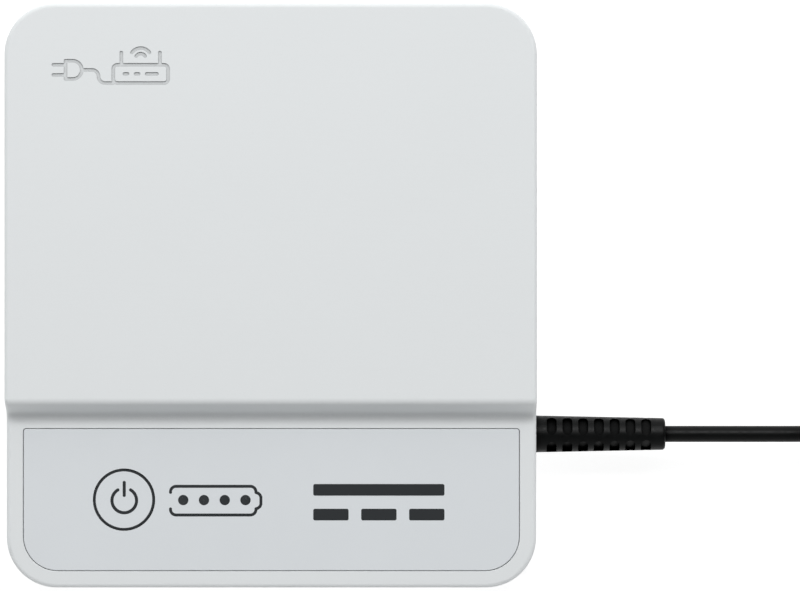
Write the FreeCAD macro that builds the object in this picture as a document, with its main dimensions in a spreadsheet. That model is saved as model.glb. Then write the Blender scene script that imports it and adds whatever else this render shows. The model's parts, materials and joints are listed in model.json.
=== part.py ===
"""Mini 12 V DC uninterruptible power supply for home network gear.

Frame: millimetres, +Z up, +X towards the output cord, +Y towards the rear of the raised
platform. Origin: centre of the body's footprint, on the plane the rubber feet rest on.
"""

import FreeCAD, Part
import math
import os

import Sketcher
from FreeCAD import Placement, Rotation, Vector

doc = FreeCAD.newDocument("mini_dc_ups")

# Driving dimensions, one to a line: alias, value, meaning
DIMENSIONS = """
# outer case
case_w 105.0 body width, X
case_d 115.5 body depth, Y
case_top 28.0 height of the raised platform above the rest plane
shelf_z 22.5 height of the front shelf
split_z 11.0 parting line between the two shells
under_z 1.0 underside of the lower shell, above the rest plane
corner_r 10.0 plan radius of the body corners
skin 2.0 wall, floor and ceiling thickness
slope_hi_y -21.1 top edge of the step down to the shelf
slope_lo_y -23.6 bottom edge of the step
slope_top_r 1.4 rounding at the top of the step
slope_foot_r 1.8 hollow at the foot of the step
rim_r 0.8 rounding of the upper rim
keel_r 1.8 rounding of the lower rim
seam_c 0.3 chamfer each side of the parting line
shelf_ceiling 19.8 underside of the front shelf
bay_front_y -19.0 front inner wall of the raised bay
bay_front_r 0.8 front corner radius of the raised bay
lip_h 1.5 height of the locating lip
lip_t 1.0 thickness of the locating lip
lip_gap 0.08 clearance round the locating lip
root 0.3 depth to which pads on the floor sink into it
# fascia
fascia_w 98.2 fascia width
fascia_front_y -54.35 fascia front edge
fascia_rear_y -26.3 fascia rear edge
fascia_th 1.3 fascia thickness
fascia_front_r 6.8 fascia front corner radius
fascia_rear_r 0.5 fascia rear corner radius
fascia_gap 0.1 gap round the fascia
fascia_edge_r 0.16 edge rounding at the gap
glue_th 0.1 adhesive film under the fascia
glue_trim 3.0 amount the film is smaller than the fascia, overall
glue_corner_r 5.0 front corner radius of the film
ink_depth 0.15 seat depth of printed marks
ink_proud 0.02 height of printed marks above the surface
# power button
btn_x -29.2 power button centre X
btn_y -40.3 power button centre Y
btn_r 6.04 power button radius, to the outside of its ring
btn_ring_w 0.44 width of the dark ring
btn_ring_t 0.6 depth of the dark ring
btn_gap 0.14 running gap round the button
btn_flange_r 7.3 retaining flange radius
btn_flange_t 1.2 retaining flange thickness
btn_stem_r 2.1 actuator stem radius
btn_stem_z 17.7 bottom of the actuator stem
# battery gauge
dot_r 1.0 light window radius
dot_first_x -17.46 first light window X
dot_pitch 4.11 light window pitch
dot_y -40.38 light window Y
guide_z 12.0 lower end of the light guide posts
# board
board_z 9.0 underside of the main board
board_th 1.6 board thickness
# cells
cell_r 9.2 sleeved cell radius
cell_len 65.0 cell length
cell_pitch 18.8 cell pitch
cell_mid_x -21.5 middle cell X
cell_front_y -18.4 front end of the cells
cell_z 14.8 cell axis height
rib_t 2.5 cradle rib thickness
rib_tall 7.3 cradle rib height, with its root
# screws and feet
screw_x 46.4 case screw X
screw_y 51.65 case screw Y
boss_r 4.25 case screw boss radius
foot_x 44.0 foot X
foot_y 38.0 foot Y
foot_r 4.5 foot radius
foot_seat 0.8 foot recess depth
# wall hanging
key_x 31.0 keyhole slot X, either side
key_y 24.0 keyhole entry Y
key_travel 9.0 keyhole slot travel
key_entry_r 4.0 keyhole entry radius
key_slot_w 4.2 keyhole slot width
key_box_half 5.2 keyhole housing half width
key_box_tall 3.75 keyhole housing height, with its root
key_room_half 4.3 keyhole head space half width
key_room_tall 2.7 keyhole head space height
# input socket
jack_y 6.0 input socket axis Y
jack_h 6.5 input socket axis above the board
jack_pin_r 1.0 input socket centre pin radius
jack_bore_r 3.15 input socket bore radius
jack_collar_r 4.0 input socket collar radius
# output cord
cord_y -27.6 cord exit Y
cord_z 11.0 cord exit height
cord_r 1.62 cord radius
cord_bore_gap 0.02 clearance of the cord in its mouldings
boot_root_r 3.7 strain relief radius at the case
boot_tip_r 3.18 strain relief radius at the tip
boot_len 26.1 strain relief length outside the case
boot_neck_r 3.15 strain relief radius in the wall
boot_core_r 2.15 strain relief core radius under the slots
boot_slot_w 2.0 strain relief slot width
boot_slot_len 3.95 strain relief slot length, end to end
boot_slot_x 3.32 first slot, from the outer wall face
boot_pitch 3.15 strain relief slot pitch
boot_turn 13.5 strain relief roll about the cord, degrees
plug_x 150.0 barrel plug axis X
plug_y 44.0 front face of the plug grip
plug_z 4.9 barrel plug axis height
plug_r 4.8 plug grip radius
grip_len 30.0 plug grip length
barrel_r 2.75 plug barrel radius
barrel_len 9.5 plug barrel length
barrel_bore_r 1.05 plug contact bore radius
barrel_seat_r 2.55 plug barrel radius inside the grip
cord_reach 49.5 level run of the cord outside the case
cord_bend_r 21.0 plan bend of the cord towards the plug
cord_fall_r 20.0 bend radius where the cord falls to the table
cord_rise_r 12.0 bend radius where the cord rises into the plug
core_wire_r 0.62 insulated core radius at the cord's inner end
# vents
vent_w 1.4 side and rear vent width
vent_len 7.0 side and rear vent length
vent_z 18.4 side and rear vent height
side_vent_y -8.0 front end of the side vent row
side_vent_run 44.0 length of the side vent row
rear_vent_run 56.0 length of the rear vent row
floor_vent_w 1.6 floor vent width
floor_vent_len 22.0 floor vent length
floor_vent_x 28.0 floor vent centre X, either side
floor_vent_y -6.0 front end of each floor vent row
floor_vent_run 22.4 length of each floor vent row
# printed and sunk marks
pict_x -43.4 pictogram left edge
pict_y 41.4 pictogram lower edge
pict_unit 1.0 size of one drawing unit of the pictogram
pict_pen 0.36 half width of the pictogram line
pict_depth 0.3 depth of the pictogram
gauge_x -11.515 battery gauge outline centre X
gauge_y -40.49 battery gauge outline centre Y
gauge_w 16.93 battery gauge outline width
gauge_d 5.68 battery gauge outline depth
gauge_r 1.1 battery gauge outline corner radius
gauge_pen 0.29 half width of the gauge line
gauge_tip 0.98 length of the gauge's terminal
gauge_tip_half 1.6 half width of the gauge's terminal
symbol_r 2.44 power mark ring radius
symbol_pen 0.31 half width of the power mark line
dc_x 21.3 direct-current mark centre X
dc_bar_y -38.35 direct-current bar Y
dc_dash_y -43.25 direct-current dash Y
dc_bar_w 26.0 direct-current bar length
dc_dash_w 7.0 direct-current dash length
dc_line_d 2.3 direct-current line width
dc_corner_r 0.35 direct-current line corner radius
# fasteners
case_head_r 2.7 case screw head radius
case_head_t 1.9 case screw head height
case_shank_r 1.42 case screw shank radius
case_shank_len 14.0 case screw length under the head
case_pilot_r 1.45 case screw pilot radius
case_pilot_depth 8.0 case screw pilot depth
case_bore_r 3.05 case screw counterbore radius
case_bore_depth 3.4 case screw counterbore depth
case_clear_r 1.6 case screw clearance radius
board_head_r 2.1 board screw head radius
board_head_t 1.4 board screw head height
board_shank_r 0.97 board screw shank radius
board_shank_len 6.2 board screw length under the head
board_post_r 2.7 board post radius
board_pilot_r 1.0 board post pilot radius
board_pilot_depth 5.0 board post pilot depth
board_hole_r 1.25 board screw hole radius
# board outline
board_edge_x 49.6 board half width
board_edge_y 54.6 board half depth
board_step_x 41.4 board half width between the corner bosses
board_step_y 46.4 board shoulder at the corner bosses
board_bay_x 8.8 board edge beside the cells
board_bay_y -19.9 board edge in front of the cells
board_cord_x 32.0 depth of the board's cord notch
board_cord_lo -36.0 front of the board's cord notch
board_cord_hi -19.2 rear of the board's cord notch
# push switch
switch_w 6.2 push switch width
switch_tall 3.3 push switch housing height
switch_bore_r 1.8 push switch bore radius
switch_cover_t 0.25 push switch cover thickness
plunger_r 1.7 push switch plunger radius
plunger_lift 1.7 push switch plunger bottom above the board
# input socket
jack_len 14.0 input socket block length
jack_w 9.0 input socket block width
jack_tall 11.0 input socket block height
jack_deep 9.0 input socket bore depth from the inner wall
leaf_half_t 0.15 spring contact half thickness
leaf_w 2.0 spring contact width
# board components
choke_w 12.3 power inductor side
choke_tall 6.0 power inductor height
can_r 4.0 electrolytic capacitor radius
can_tall 11.5 electrolytic capacitor height
logic_w 5.0 controller package width
logic_d 4.0 controller package depth
logic_tall 1.5 controller package height
power_w 4.9 power package width
power_d 3.9 power package depth
power_tall 1.4 power package height
lead_w 0.4 package lead width
lead_len 1.2 package lead length
lead_t 0.25 package lead thickness
chip_len 2.0 chip part length
chip_w 1.25 chip part width
chip_tall 0.8 chip part height
fuse_len 6.1 board fuse length
fuse_w 2.6 board fuse width
fuse_tall 2.4 board fuse height
# battery pack trim
cap_r 2.9 cell terminal cap radius
cap_t 0.7 cell terminal cap height
washer_r 8.6 cell insulator ring radius
washer_bore_r 3.2 cell insulator ring bore radius
washer_t 0.25 cell insulator ring thickness
nickel_t 0.2 nickel strip thickness
nickel_w 7.0 nickel strip width
nickel_over 3.0 reach of a nickel strip past a cell axis
paper_w 55.0 insulating paper width
paper_tall 15.0 insulating paper height
paper_t 0.15 insulating paper thickness
foam_w 50.0 foam pad length
foam_d 9.0 foam pad width
foam_gap 0.03 clearance under and over the foam pads
guard_w 34.0 protection board length
guard_t 1.0 protection board thickness
guard_tall 12.0 protection board height
guard_part_w 3.0 protection board component width
guard_part_t 1.1 protection board component thickness
guard_part_tall 2.6 protection board component height
# battery lead
header_x 14.6 battery header X
header_y 38.5 battery header Y
header_w 7.6 battery header width
header_d 5.8 battery header depth
header_tall 6.0 battery header height
header_wall 0.7 battery header wall
header_floor 1.2 battery header floor
header_pitch 1.25 battery header pin offset
header_pin_w 0.64 battery header pin width
header_pin_tall 4.0 battery header pin height above the header floor
lead_plug_w 6.0 battery lead plug width
lead_plug_d 4.2 battery lead plug depth
lead_plug_tall 6.8 battery lead plug height
lead_plug_lift 1.3 battery lead plug bottom above the board
lead_wire_r 0.6 battery lead wire radius
# label
label_w 48.0 rating label width
label_d 22.0 rating label depth
label_t 0.15 rating label thickness
label_y -38.0 rating label centre Y
"""
ROWS = [
    line.split(None, 2) for line in DIMENSIONS.strip().splitlines() if not line.startswith("#")
]

sheet = doc.addObject("Spreadsheet::Sheet", "Params")
for row, (alias, value, note) in enumerate(ROWS, start=1):
    sheet.set(f"A{row}", alias)
    sheet.set(f"B{row}", value)
    sheet.set(f"C{row}", note)
    sheet.setAlias(f"B{row}", alias)
doc.recompute()
VALUES = {alias: float(sheet.get(alias)) for alias, _, _ in ROWS}


class Dim:
    """A length that knows both its number and the named dimensions it comes from."""

    def __init__(self, number, text):
        self.number = float(number)
        self.text = text

    def __float__(self):
        return self.number

    def __add__(self, other):
        other = as_dim(other)
        return Dim(self.number + other.number, f"({self.text} + {other.text})")

    def __radd__(self, other):
        return as_dim(other) + self

    def __sub__(self, other):
        other = as_dim(other)
        return Dim(self.number - other.number, f"({self.text} - {other.text})")

    def __rsub__(self, other):
        return as_dim(other) - self

    def __mul__(self, other):
        other = as_dim(other)
        return Dim(self.number * other.number, f"({self.text} * {other.text})")

    def __rmul__(self, other):
        return as_dim(other) * self

    def __truediv__(self, other):
        other = as_dim(other)
        return Dim(self.number / other.number, f"({self.text} / {other.text})")

    def __neg__(self):
        return Dim(-self.number, f"(0 - {self.text})")


def as_dim(value):
    return value if isinstance(value, Dim) else Dim(value, repr(float(value)))


class BoundSizes:
    """dim.alias is a dimension that carries its sheet expression."""

    def __getattr__(self, alias):
        return Dim(VALUES[alias], f"Params.{alias}")


class PlainSizes:
    """num.alias is the same dimension as a plain number."""

    def __getattr__(self, alias):
        return VALUES[alias]


dim = BoundSizes()
num = PlainSizes()
NODES = {}


def bind(obj, prop, value):
    """Sets a property and, when the value comes from the sheet, its expression."""
    setattr(obj, prop, float(value))
    if isinstance(value, Dim):
        obj.setExpression(prop, value.text)


def keep(obj, label):
    """Labels an object as one of the exported pieces."""
    obj.Label = label
    NODES[label] = obj
    return obj


def checked(obj, what):
    doc.recompute()
    if "Invalid" in obj.State or "Error" in obj.State:
        raise RuntimeError(f"{what}: {obj.Name} failed: {obj.State}")
    return obj


# ---------------------------------------------------------------- sketches
def new_body(name):
    return doc.addObject("PartDesign::Body", name)


def origin_of(body, role):
    return next(part for part in body.Origin.OriginFeatures if part.Role == role)


def sketch(body, name, offset=0.0, plane="XY"):
    plan = body.newObject("Sketcher::SketchObject", name)
    plan.AttachmentSupport = (origin_of(body, f"{plane}_Plane"), [""])
    plan.MapMode = "FlatFace"
    plan.AttachmentOffset = Placement(Vector(0, 0, float(offset)), Rotation())
    if isinstance(offset, Dim):
        plan.setExpression("AttachmentOffset.Base.z", offset.text)
    return plan


def constrain(plan, kind, *refs):
    """A driving constraint whose last entry is its value, bound to the sheet when a Dim."""
    index = plan.addConstraint(Sketcher.Constraint(kind, *refs[:-1], float(refs[-1])))
    if isinstance(refs[-1], Dim):
        plan.setExpression(f"Constraints[{index}]", refs[-1].text)


def at(plan, geometry, point, x, y):
    constrain(plan, "DistanceX", -1, 1, geometry, point, x)
    constrain(plan, "DistanceY", -1, 1, geometry, point, y)


def circle(plan, x, y, radius):
    ring = Part.Circle(Vector(float(x), float(y), 0), Vector(0, 0, 1), float(radius))
    index = plan.addGeometry(ring, False)
    constrain(plan, "Radius", index, radius)
    at(plan, index, 3, x, y)


def corner_circles(plan, x, y, radius):
    """Four circles, mirrored about both axes."""
    for side in (-1, 1):
        for end in (-1, 1):
            circle(plan, side * x, end * y, radius)


def polygon(plan, points):
    """Straight-sided loop, each corner held from the origin."""
    first = plan.GeometryCount
    count = len(points)
    flat = [Vector(float(x), float(y), 0) for x, y in points]
    for i in range(count):
        plan.addGeometry(Part.LineSegment(flat[i], flat[(i + 1) % count]), False)
    for i in range(count):
        following = first + (i + 1) % count
        plan.addConstraint(Sketcher.Constraint("Coincident", first + i, 2, following, 1))
    for i, (x, y) in enumerate(points):
        at(plan, first + i, 1, x, y)


def rectangle(plan, x0, x1, y0, y1, radii):
    """Upright rectangle. radii: one corner radius, or four (front-left, front-right,
    rear-right, rear-left); 0 for a sharp corner."""
    if not isinstance(radii, (list, tuple)):
        radii = [radii] * 4
    left, right, front, rear = float(x0), float(x1), float(y0), float(y1)
    sizes = [float(radius) for radius in radii]
    corners = [(left, front), (right, front), (right, rear), (left, rear)]
    run = [(1, 0), (0, 1), (-1, 0), (0, -1)]
    first = plan.GeometryCount
    for i in range(4):
        start, end = corners[i], corners[(i + 1) % 4]
        trim, end_trim = sizes[i], sizes[(i + 1) % 4]
        dx, dy = run[i]
        line = Part.LineSegment(
            Vector(start[0] + dx * trim, start[1] + dy * trim, 0),
            Vector(end[0] - dx * end_trim, end[1] - dy * end_trim, 0),
        )
        plan.addGeometry(line, False)
    inward = [(1, 1), (-1, 1), (-1, -1), (1, -1)]
    begin = [math.pi, 1.5 * math.pi, 0.0, 0.5 * math.pi]
    seen = {}
    for i, size in enumerate(sizes):
        before, after = first + (i + 3) % 4, first + i
        if size <= 0:
            plan.addConstraint(Sketcher.Constraint("Coincident", before, 2, after, 1))
            continue
        x, y = corners[i][0] + inward[i][0] * size, corners[i][1] + inward[i][1] * size
        ring = Part.Circle(Vector(x, y, 0), Vector(0, 0, 1), size)
        arc = plan.addGeometry(Part.ArcOfCircle(ring, begin[i], begin[i] + math.pi / 2), False)
        plan.addConstraint(Sketcher.Constraint("Tangent", before, 2, arc, 1))
        plan.addConstraint(Sketcher.Constraint("Tangent", arc, 2, after, 1))
        if size in seen:
            plan.addConstraint(Sketcher.Constraint("Equal", seen[size], arc))
        else:
            seen[size] = arc
            constrain(plan, "Radius", arc, radii[i])
    for i in (0, 2):
        plan.addConstraint(Sketcher.Constraint("Horizontal", first + i))
    for i in (1, 3):
        plan.addConstraint(Sketcher.Constraint("Vertical", first + i))
    constrain(plan, "DistanceY", -1, 1, first, 1, y0)
    constrain(plan, "DistanceX", -1, 1, first + 1, 1, x1)
    constrain(plan, "DistanceY", -1, 1, first + 2, 1, y1)
    constrain(plan, "DistanceX", -1, 1, first + 3, 1, x0)


def slot(plan, x, y, length, width, upright=False):
    """Round-ended slot centred on x, y: length end to end, width across."""
    x, y, radius = as_dim(x), as_dim(y), as_dim(width) / 2
    run = (as_dim(length) - as_dim(width)) / 2
    centre = Vector(float(x), float(y), 0)
    reach = (Vector(0, 1, 0) if upright else Vector(1, 0, 0)) * float(run)
    side = (Vector(-1, 0, 0) if upright else Vector(0, 1, 0)) * float(radius)
    turn = math.pi / 2 if upright else 0.0

    def end_arc(middle, start):
        ring = Part.Circle(middle, Vector(0, 0, 1), float(radius))
        return Part.ArcOfCircle(ring, start, start + math.pi)

    pieces = (
        Part.LineSegment(centre - reach - side, centre + reach - side),
        end_arc(centre + reach, turn - math.pi / 2),
        Part.LineSegment(centre + reach + side, centre - reach + side),
        end_arc(centre - reach, turn + math.pi / 2),
    )
    loop = [plan.addGeometry(piece, False) for piece in pieces]
    for i in range(4):
        plan.addConstraint(Sketcher.Constraint("Tangent", loop[i], 2, loop[(i + 1) % 4], 1))
    plan.addConstraint(Sketcher.Constraint("Vertical" if upright else "Horizontal", loop[0]))
    constrain(plan, "Radius", loop[1], radius)
    if upright:
        at(plan, loop[1], 3, x, y + run)
        constrain(plan, "DistanceY", -1, 1, loop[3], 3, y - run)
    else:
        at(plan, loop[1], 3, x + run, y)
        constrain(plan, "DistanceX", -1, 1, loop[3], 3, x - run)


# ---------------------------------------------------------------- body features
def pad(body, plan, length, name):
    feature = body.newObject("PartDesign::Pad", name)
    feature.Profile = plan
    bind(feature, "Length", length)
    checked(feature, body.Label)


def pocket(body, plan, length, name, reverse=False):
    """A cut against the sketch normal, or along it when reversed."""
    before = body.Shape.Volume
    feature = body.newObject("PartDesign::Pocket", name)
    feature.Profile = plan
    bind(feature, "Length", length)
    feature.Reversed = reverse
    checked(feature, body.Label)
    if before - body.Shape.Volume < 1e-4:
        raise RuntimeError(f"{body.Label}: pocket {name} cut nothing")
    return feature


def soften(body, kind, wanted, size, name):
    """A Fillet or a Chamfer on the edges that wanted() picks."""
    base = body.Tip
    names = [f"Edge{i}" for i, edge in enumerate(base.Shape.Edges, 1) if wanted(edge)]
    if not names:
        raise RuntimeError(f"{body.Label}: {name} found no edges")
    feature = body.newObject(f"PartDesign::{kind}", name)
    feature.Base = (base, names)
    bind(feature, "Radius" if kind == "Fillet" else "Size", size)
    checked(feature, body.Label)


def set_row(pattern, body, axis, length, count):
    pattern.Direction = (origin_of(body, axis), [""])
    bind(pattern, "Length", length)
    pattern.Occurrences = count


def set_turns(pattern, body, count):
    pattern.Axis = (origin_of(body, "X_Axis"), [""])
    pattern.Angle = 360
    pattern.Occurrences = count


def vent_row(body, key, plan, depth, axis, length, count):
    """Cuts the slot drawn in plan and repeats it along an axis."""
    first = pocket(body, plan, depth, f"{key}_cut", reverse=True)
    row = body.newObject("PartDesign::LinearPattern", f"{key}s")
    row.Originals = [first]
    set_row(row, body, axis, length, count)
    body.Tip = row
    checked(row, body.Label)


def slot_rows(body, key, first, length, count, turns):
    """Repeats a slot along X and round X."""
    row = body.newObject("PartDesign::LinearPattern", f"{key}_row")
    ring = body.newObject("PartDesign::PolarPattern", f"{key}_turns")
    both = body.newObject("PartDesign::MultiTransform", f"{key}s")
    both.Originals = [first]
    set_row(row, body, "X_Axis", length, count)
    set_turns(ring, body, turns)
    both.Transformations = [row, ring]
    body.Tip = both
    checked(both, body.Label)


def turned_body(name, key, points):
    """A body turned about X from (x, radius) points."""
    body = new_body(name)
    plan = sketch(body, f"{key}_profile")
    polygon(plan, points)
    feature = body.newObject("PartDesign::Revolution", f"{key}_turned")
    feature.Profile = plan
    feature.ReferenceAxis = (origin_of(body, "X_Axis"), [""])
    feature.Angle = 360
    checked(feature, name)
    return body


# ---------------------------------------------------------------- edge selectors
def ends(edge):
    return edge.valueAt(edge.FirstParameter), edge.valueAt(edge.LastParameter)


def samples(edge):
    start, end = edge.FirstParameter, edge.LastParameter
    return [edge.valueAt(start + (end - start) * i / 4) for i in range(5)]


def rise(edge):
    start, end = ends(edge)
    return abs(start.z - end.z)


def is_post(edge, least):
    """A straight edge that rises more than least."""
    straight = edge.Curve.TypeId == "Part::GeomLine"
    return rise(edge) > least and len(edge.Vertexes) == 2 and straight


def is_level(edge):
    return edge.BoundBox.ZLength < 1e-4


def on_case_wall(point):
    """Whether a point lies on the rounded-rectangle outer wall of the case."""
    x, y, radius = abs(point.x), abs(point.y), num.corner_r
    centre_x, centre_y = num.case_w / 2 - radius, num.case_d / 2 - radius
    if x > centre_x and y > centre_y:
        return abs(math.hypot(x - centre_x, y - centre_y) - radius) < 0.02
    return abs(x - num.case_w / 2) < 0.02 or abs(y - num.case_d / 2) < 0.02


def wall_loop_at(height):
    return lambda edge: all(
        abs(p.z - height) < 1e-4 and on_case_wall(p) for p in samples(edge)
    )


def step_edge(y, z):
    return lambda edge: all(
        abs(p.y - y) < 0.01 and abs(p.z - z) < 0.01 for p in samples(edge)
    )


def upper_rim(edge):
    start, end = ends(edge)
    if min(p.z for p in samples(edge)) < num.split_z + 0.5:
        return False
    if math.hypot(start.x - end.x, start.y - end.y) < 1e-6 and edge.Length > 1e-3:
        return False
    return all(on_case_wall(p) for p in samples(edge))


def recess_lip(edge):
    return all(
        abs(p.z - num.shelf_z) < 1e-4
        and abs(p.x) < num.fascia_w / 2 + 1
        and num.fascia_front_y - 1 < p.y < num.fascia_rear_y + 1
        for p in samples(edge)
    )


# ---------------------------------------------------------------- blocks, cylinders and joins
TO_X = Rotation(Vector(0, 1, 0), 90)
TO_Y = Rotation(Vector(1, 0, 0), -90)


def place(obj, x, y, z, rotation=Rotation()):
    obj.Placement = Placement(Vector(float(x), float(y), float(z)), rotation)
    for axis, value in (("x", x), ("y", y), ("z", z)):
        if isinstance(value, Dim):
            obj.setExpression(f"Placement.Base.{axis}", value.text)
    return obj


def box(name, width, depth, height, x, y, z):
    """A block centred on x, y and standing on z."""
    block = doc.addObject("Part::Box", name)
    bind(block, "Length", width)
    bind(block, "Width", depth)
    bind(block, "Height", height)
    return place(block, as_dim(x) - as_dim(width) / 2, as_dim(y) - as_dim(depth) / 2, z)


def cyl(name, radius, height, x, y, z, rotation=Rotation()):
    cylinder = doc.addObject("Part::Cylinder", name)
    bind(cylinder, "Radius", radius)
    bind(cylinder, "Height", height)
    return place(cylinder, x, y, z, rotation)


def fuse(name, parts):
    joined = doc.addObject("Part::MultiFuse", name)
    joined.Shapes = parts
    return checked(joined, name)


def cut(name, base, tool):
    result = doc.addObject("Part::Cut", name)
    result.Base, result.Tool = base, tool
    return checked(result, name)


def group(name, parts):
    """Separate solids kept under one node."""
    result = doc.addObject("Part::Compound", name)
    result.Links = parts
    return checked(result, name)


def round_edges(name, base, wanted, radius):
    """A rounding on the edges that wanted() picks."""
    doc.recompute()
    result = doc.addObject("Part::Fillet", name)
    result.Base = base
    size = float(radius)
    picked = [(i, size, size) for i, edge in enumerate(base.Shape.Edges, 1) if wanted(edge)]
    if not picked:
        raise RuntimeError(f"{name} found no edges")
    result.Edges = picked
    return checked(result, name)


def solid(name, shape):
    obj = doc.addObject("Part::Feature", name)
    obj.Shape = shape
    return obj


def spun(points, axis):
    """The closed profile through (x, y, z) points, turned about an axis through the origin."""
    loop = Part.makePolygon([Vector(*point) for point in points + points[:1]])
    return Part.Face(loop).revolve(Vector(0, 0, 0), Vector(*axis), 360)


def grooved(shape, angles, length, width, height, z):
    """Cuts bars centred on the Z axis, standing on z, at the given angles."""
    for angle in angles:
        bar = Part.makeBox(length, width, height, Vector(-length / 2, -width / 2, z))
        bar.rotate(Vector(0, 0, 0), Vector(0, 0, 1), angle)
        shape = shape.cut(bar)
    return shape


def line_edge(start, end):
    return Part.Edge(Part.LineSegment(start, end))


def arc_edge(start, middle, end):
    return Part.Edge(Part.Arc(start, middle, end))


def flat_path(pieces, unit):
    """A wire in XY from lines (x0, y0, x1, y1) and arcs (x, y, radius, start, end degrees)."""
    edges = []
    for piece in pieces:
        if len(piece) == 4:
            points, make = [piece[:2], piece[2:]], line_edge
        else:
            x, y, radius, start, end = piece
            turns = [math.radians(a) for a in (start, (start + end) / 2, end)]
            points = [(x + radius * math.cos(a), y + radius * math.sin(a)) for a in turns]
            make = arc_edge
        edges.append(make(*[Vector(x * unit, y * unit, 0) for x, y in points]))
    return Part.Wire(edges)


def stroke(pieces, pen, height, unit=1.0):
    """A path drawn with a round pen of half width pen, as a thin solid on z = 0."""
    origin, up = Vector(0, 0, 0), Vector(0, 0, 1)
    solids = []
    for edge in flat_path(pieces, unit).Edges:
        start, end = ends(edge)
        for point in (start, end):
            solids.append(Part.makeCylinder(pen, height, Vector(point.x, point.y, 0)))
        if edge.Curve.TypeId == "Part::GeomLine":
            bar = Part.makeBox((end - start).Length, 2 * pen, height, Vector(0, -pen, 0))
            bar.rotate(origin, up, math.degrees(math.atan2(end.y - start.y, end.x - start.x)))
            bar.translate(Vector(start.x, start.y, 0))
        else:
            centre, radius = edge.Curve.Center, edge.Curve.Radius
            middle = edge.valueAt((edge.FirstParameter + edge.LastParameter) / 2)
            heading = math.degrees(math.atan2(middle.y - centre.y, middle.x - centre.x))
            sweep = math.degrees(edge.Length / radius)
            bar = Part.makeCylinder(radius + pen, height, origin, up, sweep)
            bar = bar.cut(Part.makeCylinder(radius - pen, height, origin))
            bar.rotate(origin, up, heading - sweep / 2)
            bar.translate(Vector(centre.x, centre.y, 0))
        solids.append(bar)
    return solids[0].multiFuse(solids[1:]).removeSplitter()


def tube(path_edges, radius):
    """A round sweep along a smooth path."""
    wire = Part.Wire(path_edges)
    first = wire.Edges[0]
    start, heading = first.valueAt(first.FirstParameter), first.tangentAt(first.FirstParameter)
    ring = Part.Wire(Part.makeCircle(radius, start, heading))
    return wire.makePipeShell([ring], True, False)


def spline(points, start, end):
    """A curve through points, with its start and end tangents."""
    curve = Part.BSplineCurve()
    curve.interpolate(
        Points=[Vector(*point) for point in points],
        InitialTangent=Vector(*start),
        FinalTangent=Vector(*end),
    )
    return curve.toShape()


# ---------------------------------------------------------------- shared places and outlines
CORNERS = [(-1, -1), (1, -1), (1, 1), (-1, 1)]
SIDES = (("left", -1), ("right", 1))
BOARD_POSTS = [(-45.4, -26.5), (36.0, -50.4), (14.0, 50.4), (37.0, 50.4)]
half_w, half_d = dim.case_w / 2, dim.case_d / 2
wall_x = half_w - dim.skin  # inner face of the right-hand wall
board_top = dim.board_z + dim.board_th
floor_top = dim.under_z + dim.skin
root_z = floor_top - dim.root
jack_z = board_top + dim.jack_h
dots_x = [dim.dot_first_x + i * dim.dot_pitch for i in range(4)]
dots_mid_x = dim.dot_first_x + 1.5 * dim.dot_pitch
cells_x = [dim.cell_mid_x + i * dim.cell_pitch for i in (-1, 0, 1)]


def case_outline(plan, inset=0):
    """The case footprint, drawn in by inset."""
    rectangle(
        plan, inset - half_w, half_w - inset, inset - half_d, half_d - inset,
        dim.corner_r - inset,
    )


def fascia_outline(plan, gap=0):
    front_r, rear_r = dim.fascia_front_r + gap, dim.fascia_rear_r + gap
    rectangle(
        plan, -dim.fascia_w / 2 - gap, dim.fascia_w / 2 + gap,
        dim.fascia_front_y - gap, dim.fascia_rear_y + gap, [front_r, front_r, rear_r, rear_r],
    )


def button_and_dots(plan, button_gap, dot_gap):
    circle(plan, dim.btn_x, dim.btn_y, dim.btn_r + button_gap)
    for x in dots_x:
        circle(plan, x, dim.dot_y, dim.dot_r + dot_gap)


def cut_cord_notch(body, sketch_name, name):
    plan = sketch(body, sketch_name, wall_x - 1.5, "YZ")
    circle(plan, dim.cord_y, dim.cord_z, dim.boot_neck_r + 0.05)
    pocket(body, plan, dim.skin + 3, name, reverse=True)


# ---------------------------------------------------------------- upper shell
top = new_body("top_case_shell")
plan = sketch(top, "top_outline", dim.split_z)
case_outline(plan)
pad(top, plan, dim.case_top - dim.split_z, "top_block")
# the sloped step from the platform down to the shelf; the cut overruns the block by 4
plan = sketch(top, "step_profile", -half_w - 4, "YZ")
polygon(
    plan,
    [
        (-half_d - 4, dim.shelf_z),
        (dim.slope_lo_y, dim.shelf_z),
        (dim.slope_hi_y, dim.case_top),
        (dim.slope_hi_y, dim.case_top + 4),
        (-half_d - 4, dim.case_top + 4),
    ],
)
pocket(top, plan, dim.case_w + 8, "step", reverse=True)
brow, foot = step_edge(num.slope_hi_y, num.case_top), step_edge(num.slope_lo_y, num.shelf_z)
soften(top, "Fillet", brow, dim.slope_top_r, "step_brow")
soften(top, "Fillet", foot, dim.slope_foot_r, "step_foot")
soften(top, "Fillet", upper_rim, dim.rim_r, "rim_rounding")
soften(top, "Chamfer", wall_loop_at(num.split_z), dim.seam_c, "seam_chamfer")
# hollow, with a taller bay under the platform
plan = sketch(top, "lower_hollow", dim.split_z)
case_outline(plan, dim.skin)
pocket(top, plan, dim.shelf_ceiling - dim.split_z, "hollow", reverse=True)
plan = sketch(top, "bay_hollow", dim.shelf_ceiling - 0.5)
rear_r = dim.corner_r - dim.skin
rectangle(
    plan, -half_w + dim.skin, wall_x, dim.bay_front_y, half_d - dim.skin,
    [dim.bay_front_r, dim.bay_front_r, rear_r, rear_r],
)
pocket(top, plan, dim.case_top - dim.skin - dim.shelf_ceiling + 0.5, "bay", reverse=True)
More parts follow.
